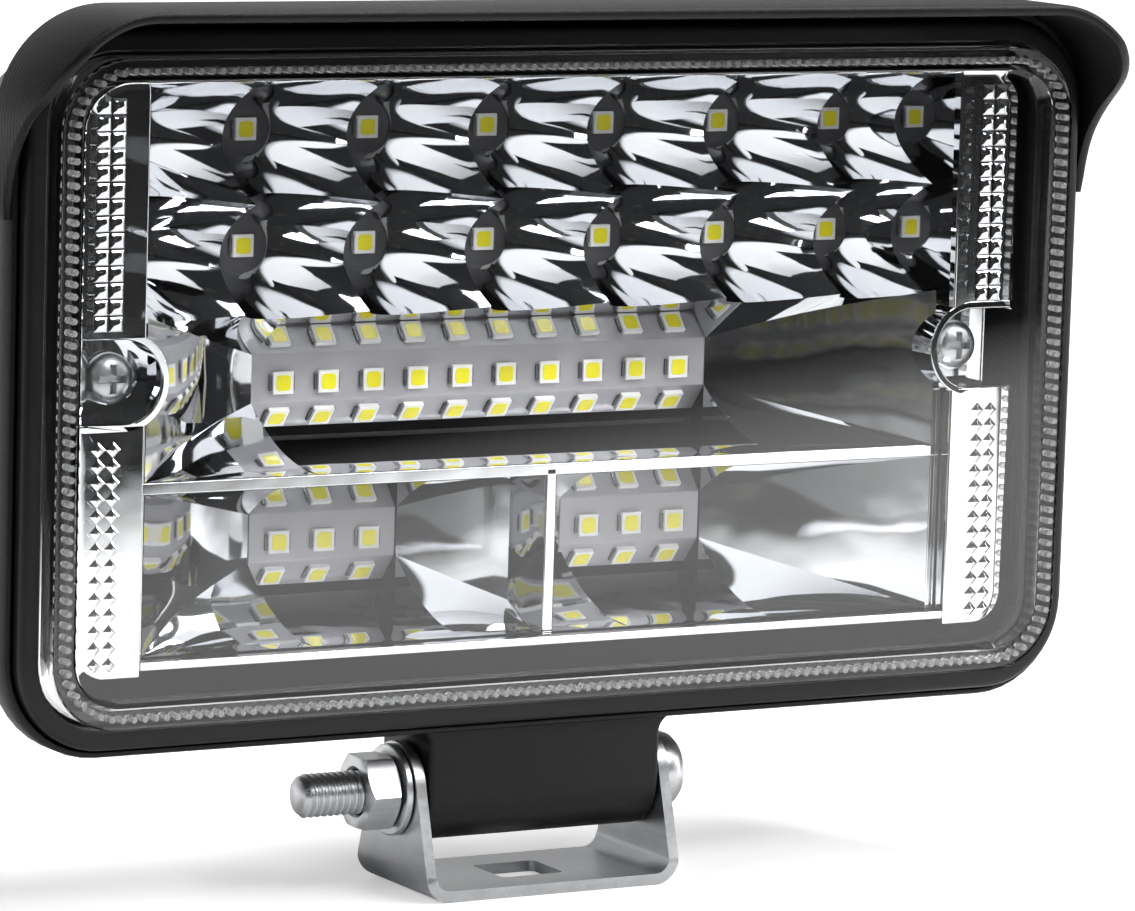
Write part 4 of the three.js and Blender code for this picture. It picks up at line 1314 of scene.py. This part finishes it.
def strip_stations():
    """Where the strip runs, from the left leg's top to the right one's: outside, inside, half depth."""
    right = [((x, 0.0), (x, PLATE), FOOT_HALF) for x in (0.0, 8.0, LEG_OUT - BEND_OUT)]
    for k in range(1, 9):
        turn = math.radians(-90 + 90 * k / 8)
        outside, inside = (
            (LEG_OUT - BEND_OUT + r * math.cos(turn), BEND_OUT + r * math.sin(turn))
            for r in (BEND_OUT, BEND_OUT - PLATE)
        )
        right.append((outside, inside, leg_half(outside[1])))
    lean = math.atan2(FOOT_HALF - LEG_TOP, AXIS_Z - SHOULDER)
    heights = [4.5, 7.5, 10.5, 13.0]
    heights += [AXIS_Z + LEG_TOP * math.sin(mixed(lean / 2, math.pi / 2 - 0.02, k / 16)) for k in range(17)]
    right += [((LEG_OUT, z), (LEG_OUT - PLATE, z), leg_half(z)) for z in heights]
    left = [((-a[0], a[1]), (-b[0], b[1]), half) for a, b, half in reversed(right[1:])]
    return left + right


sections = []
for (x0, z0), (x1, z1), half in strip_stations():
    sections.append([(x0, -half, z0), (x0, half, z0), (x1, half, z1), (x1, -half, z1)])


def cut_steel(place):
    """Zinc plate, greyer and grainier on the strip's sheared edges."""
    look = zinc_plate(place)
    streak = place.stretched(60.0, 1.0, 60.0).noise(30.0, 4.0)
    cloud = place.noise(150.0, 3.0)
    look["Base Color"] = (streak * 0.35 + cloud * 0.65).blend((0.36, 0.37, 0.39), (0.86, 0.87, 0.88))
    look["Roughness"] = 0.24 + cloud * 0.16 + streak * 0.10
    return look


bracket_zinc = finish("zinc_plated_strip", cut_steel, {"Metallic": 1.0})
bracket = part("bracket_strip", *skin(sections), bracket_zinc, STAND, 30)
slot = round_loop(SLOT_HALF, -SLOT_DEPTH, SLOT_DEPTH, SLOT_CORNER, 0, 4)
slot_ends = [[(x, y, z) for x, _, y in slot] for z in (-1.0, PLATE + 1)]
slot_cutter = part("slot", *skin(slot_ends), bracket_zinc, STAND)
drilled(bracket, [slot_cutter])


def turned_across(profile, closed=False):
    """Points and faces of a body turned about the pivot's line, from (radius, x) pairs."""
    loops = []
    for radius, x in profile:
        turns = [2 * math.pi * k / 64 for k in range(64)]
        loops.append([(x, radius * math.cos(t), AXIS_Z + radius * math.sin(t)) for t in turns])
    return skin(loops, closed)


leg_hole = turned_across([(LEG_HOLE, -25.0), (LEG_HOLE, 25.0)])
drilled(bracket, [part("leg_hole", *leg_hole, bracket_zinc, STAND)])
eased(bracket, 0.22, 2, 40)
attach(bracket, "stand")
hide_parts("bracket")

# ------------------------------------------------------------------ pivot bolt
# A zinc-plated M6 bolt runs through both legs and the barrel: a low round head with a hexagon
# socket on the right, and a rolled thread of 1 mm pitch out of the left.

THREAD_TIP, THREAD_PITCH, THREAD_MAJOR, THREAD_ROOT = -34.0, 1.0, 2.96, 2.42


def thread_tree(sizes):
    """A rolled screw thread along x, from its chamfered tip up to the shank."""
    tree, size = geometry_tree("bolt_thread", sizes)
    grid, u, v = unit_grid(size["Length"], 181, 41)
    along, turn = u * size["Length"], v * 2 * math.pi
    phase = along / size["Pitch"] - v
    wave = abs(phase - phase.by("FLOOR") - 0.5) * 2.0
    crest = (wave * 1.35 - 0.12).least(1.0).most(0.0)
    thread = size["Root"] + (size["Major"] - size["Root"]) * crest
    inset = along.least(size["Length"] - along)
    end_radius = size["Root"] - 0.05
    radius = thread.least(end_radius + inset * 0.9)
    high = radius * turn.by("SINE") + size["Height"]
    spot = combined(along + size["Tip"], radius * turn.by("COSINE"), high)
    shaped = grid.node("GeometryNodeSetPosition", {}, {"Geometry": grid, "Position": spot})
    skin_out = shaped.node("GeometryNodeFlipFaces", {}, {"Mesh": shaped})
    rim = {"Vertices": 40, "Radius": end_radius}
    disc = shaped.node("GeometryNodeMeshCircle", {"fill_type": "NGON"}, rim)
    ends = []
    for x, turn_y in ((size["Tip"], -math.pi / 2), (size["Tip"] + size["Length"], math.pi / 2)):
        place = combined(x, 0.0, size["Height"])
        moved = {"Geometry": disc, "Rotation": (0.0, turn_y, 0.0), "Translation": place}
        ends.append(disc.node("GeometryNodeTransform", {}, moved))
    joined = disc.node("GeometryNodeJoinGeometry", {}, {0: [skin_out, *ends]})
    whole = joined.node("GeometryNodeMergeByDistance", {}, {"Geometry": joined, "Distance": 0.002})
    close_tree(coated(whole, zinc))
    return tree


thread_sizes = {
    "Length": 12.6, "Pitch": THREAD_PITCH, "Major": THREAD_MAJOR, "Root": THREAD_ROOT,
    "Tip": THREAD_TIP, "Height": AXIS_Z,
}
thread = grown("pivot_bolt_thread", thread_tree(thread_sizes), thread_sizes, STAND, 50)
BOLT_BODY = [  # radius and x, from the end of the shank to the head
    (0.02, -21.6), (2.95, -21.6), (2.95, 19.7), (5.1, 19.7), (5.35, 19.9), (5.4, 20.4),
    (5.32, 21.6), (5.0, 22.6), (4.4, 23.25), (3.7, 23.5), (0.02, 23.5),
]
bolt = part("pivot_bolt_body", *turned_across(BOLT_BODY), zinc, STAND)
SOCKET_RADIUS, SOCKET_FLOOR = 2.9, 21.3
corners = [math.radians(60 * k) for k in range(6)]
socket_cutter = part("socket", *skin([
    [(x, SOCKET_RADIUS * math.cos(t), AXIS_Z + SOCKET_RADIUS * math.sin(t)) for t in corners]
    for x in (SOCKET_FLOOR, 25.0)
]), zinc, STAND)
drilled(bolt, [socket_cutter])
for piece in (thread, bolt):
    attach(piece, "stand")
    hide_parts("pivot_bolt")

# ------------------------------------------------------------------ washer and nut
# A pressed round washer and a plain M6 hexagon nut with both faces chamfered, zinc plated.

WASHER = [(3.3, -20.65), (6.0, -20.65), (6.2, -20.5), (6.2, -19.85), (6.05, -19.7), (3.3, -19.7)]
washer = part("bolt_washer_disc", *turned_across(WASHER, closed=True), zinc, STAND)


def nut_loop(reach, x, crown):
    """A hexagon outline with its corners turned back towards x by the nut's chamfer."""
    loop = []
    for k in range(96):
        turn = 2 * math.pi * k / 96
        flat = NUT_FLAT / math.cos((turn % math.radians(60)) - math.radians(30))
        radius = min(reach, flat)
        back = max(0.0, radius - NUT_FLAT) * 0.55 * crown
        loop.append((x + back, radius * math.cos(turn), AXIS_Z + radius * math.sin(turn)))
    return loop


NUT_OUT, NUT_IN, NUT_FLAT = -25.5, -20.9, 4.79
NUT = [  # reach, x and the way its corners turn back
    (3.15, NUT_OUT + 0.4, 0), (3.5, NUT_OUT, 0), (4.5, NUT_OUT, 0), (9.0, NUT_OUT, 1),
    (9.0, NUT_IN, -1), (4.5, NUT_IN, 0), (3.5, NUT_IN, 0), (3.15, NUT_IN - 0.4, 0),
]
nut = part("bolt_nut_hexagon", *skin([nut_loop(*row) for row in NUT], closed=True), zinc, STAND, 25)
for piece, node in ((washer, "bolt_washer"), (nut, "bolt_nut")):
    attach(piece, "stand")
    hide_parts(node)

# ------------------------------------------------------------------ floor, light and camera
# A pale seamless floor that curves up behind the lamp, lit by large soft boxes, and a long
# lens a little above the lamp on its left.


def pale_paper(place):
    grain = place.noise(60.0, 3.0)
    return {
        "Base Color": grain.blend((0.90, 0.90, 0.90), (0.94, 0.94, 0.94)),
        "Roughness": 0.42 + grain * 0.1,
    }


# To the mirrors the floor is a white table that ends in front of the lamp, in a dark room.
VIEW_X, VIEW_Y, TABLE_REACH = 0.494, 0.859, 0.27
glow = {"Emission Color": (1.0, 1.0, 1.0, 1.0), "Emission Strength": 0.42}
paper = finish("pale_paper", pale_paper, glow)
tree = paper.node_tree
sheen = Wire(tree, tree.nodes["Principled BSDF"].outputs[0])
seen = sheen.node("ShaderNodeLightPath", {}, {}, "Is Camera Ray")
ahead_x, ahead_y, _ = sheen.node("ShaderNodeTexCoord", {}, {}, "Object").axes()
dim = sheen.node("ShaderNodeBsdfDiffuse", {}, {"Color": (0.015, 0.015, 0.015, 1.0)})
near = sheen.node("ShaderNodeBsdfDiffuse", {}, {"Color": (0.80, 0.80, 0.80, 1.0)})
reach = ahead_x * VIEW_X + ahead_y * VIEW_Y + TABLE_REACH
table = sheen.node("ShaderNodeMixShader", {}, {0: (reach * 14.0).least(1.0).most(0.0), 1: dim, 2: near})
laid = sheen.node("ShaderNodeMixShader", {}, {0: seen, 1: table, 2: sheen})
tree.links.new(laid.socket, tree.nodes["Material Output"].inputs["Surface"])
SWEEP_START, SWEEP_RADIUS, FLOOR_HALF, FLOOR_DROP = 900.0, 600.0, 4000.0, 0.05
sweep = [(-3000.0, 0.0), (-350.0, 0.0), (SWEEP_START, 0.0)]
for degrees in range(10, 91, 10):
    turn = math.radians(degrees)
    back, up = SWEEP_RADIUS * math.sin(turn), SWEEP_RADIUS - SWEEP_RADIUS * math.cos(turn)
    sweep.append((SWEEP_START + back, up))
sweep.append((SWEEP_START + SWEEP_RADIUS, 3200.0))
floor = part(
    "floor", [(x, y, z - FLOOR_DROP) for y, z in sweep for x in (-FLOOR_HALF, FLOOR_HALF)],
    [(2 * i, 2 * i + 1, 2 * i + 3, 2 * i + 2) for i in range(len(sweep) - 1)], paper, STAND, 60,
)


def soft_box(name, power, width, height, spot, target):
    lamp = bpy.data.lights.new(name, "AREA")
    lamp.shape, lamp.size, lamp.size_y, lamp.energy = "RECTANGLE", width, height, power
    thing = bpy.data.objects.new(name, lamp)
    aim = Vector(target) - Vector(spot)
    thing.matrix_world = Matrix.Translation(spot) @ aim.to_track_quat("-Z", "Y").to_matrix().to_4x4()
    bpy.context.scene.collection.objects.link(thing)


soft_box("overhead_box", 23.0, 0.9, 0.55, (0.35, 0.15, 1.25), (0.0, 0.0, 0.05))
soft_box("front_left_box", 6.5, 0.22, 0.6, (-1.15, -0.35, 0.75), (0.0, 0.0, 0.06))
soft_box("front_high_box", 13.0, 1.0, 0.3, (0.6, -0.95, 0.98), (0.0, 0.0, 0.06))
soft_box("right_strip", 4.0, 0.12, 0.8, (1.05, -0.55, 0.45), (0.0, 0.0, 0.06))

world = bpy.data.worlds.new("studio")
world.use_nodes = True
background = world.node_tree.nodes["Background"]
backdrop = Wire(world.node_tree, background.outputs[0])
facing = backdrop.node("ShaderNodeLightPath", {}, {}, "Is Camera Ray")
world.node_tree.links.new((facing * 0.97 + 0.03).socket, background.inputs["Strength"])
background.inputs["Color"].default_value = (1.0, 1.0, 1.0, 1.0)
bpy.context.scene.world = world
bpy.context.scene.view_settings.view_transform = "Standard"

yaw, pitch, roll = math.radians(29.89), math.radians(7.89), math.radians(1.71)
ahead = Vector((math.sin(yaw) * math.cos(pitch), math.cos(yaw) * math.cos(pitch), -math.sin(pitch)))
level = Vector((math.cos(yaw), -math.sin(yaw), 0.0))
upward = level.cross(ahead)
across = level * math.cos(roll) + upward * math.sin(roll)
upright = upward * math.cos(roll) - level * math.sin(roll)
DISTANCE = 0.8247
looked_at = LENS_FRONT + Vector((-0.0022, 0.0, -0.01015))
view = Matrix((across, upright, -ahead)).transposed().to_4x4()
view.translation = looked_at - ahead * DISTANCE
camera = bpy.data.objects.new("camera", bpy.data.cameras.new("camera"))
camera.data.sensor_width, camera.data.lens = 36.0, 197.2
camera.matrix_world = view
bpy.context.scene.collection.objects.link(camera)
bpy.context.scene.camera = camera
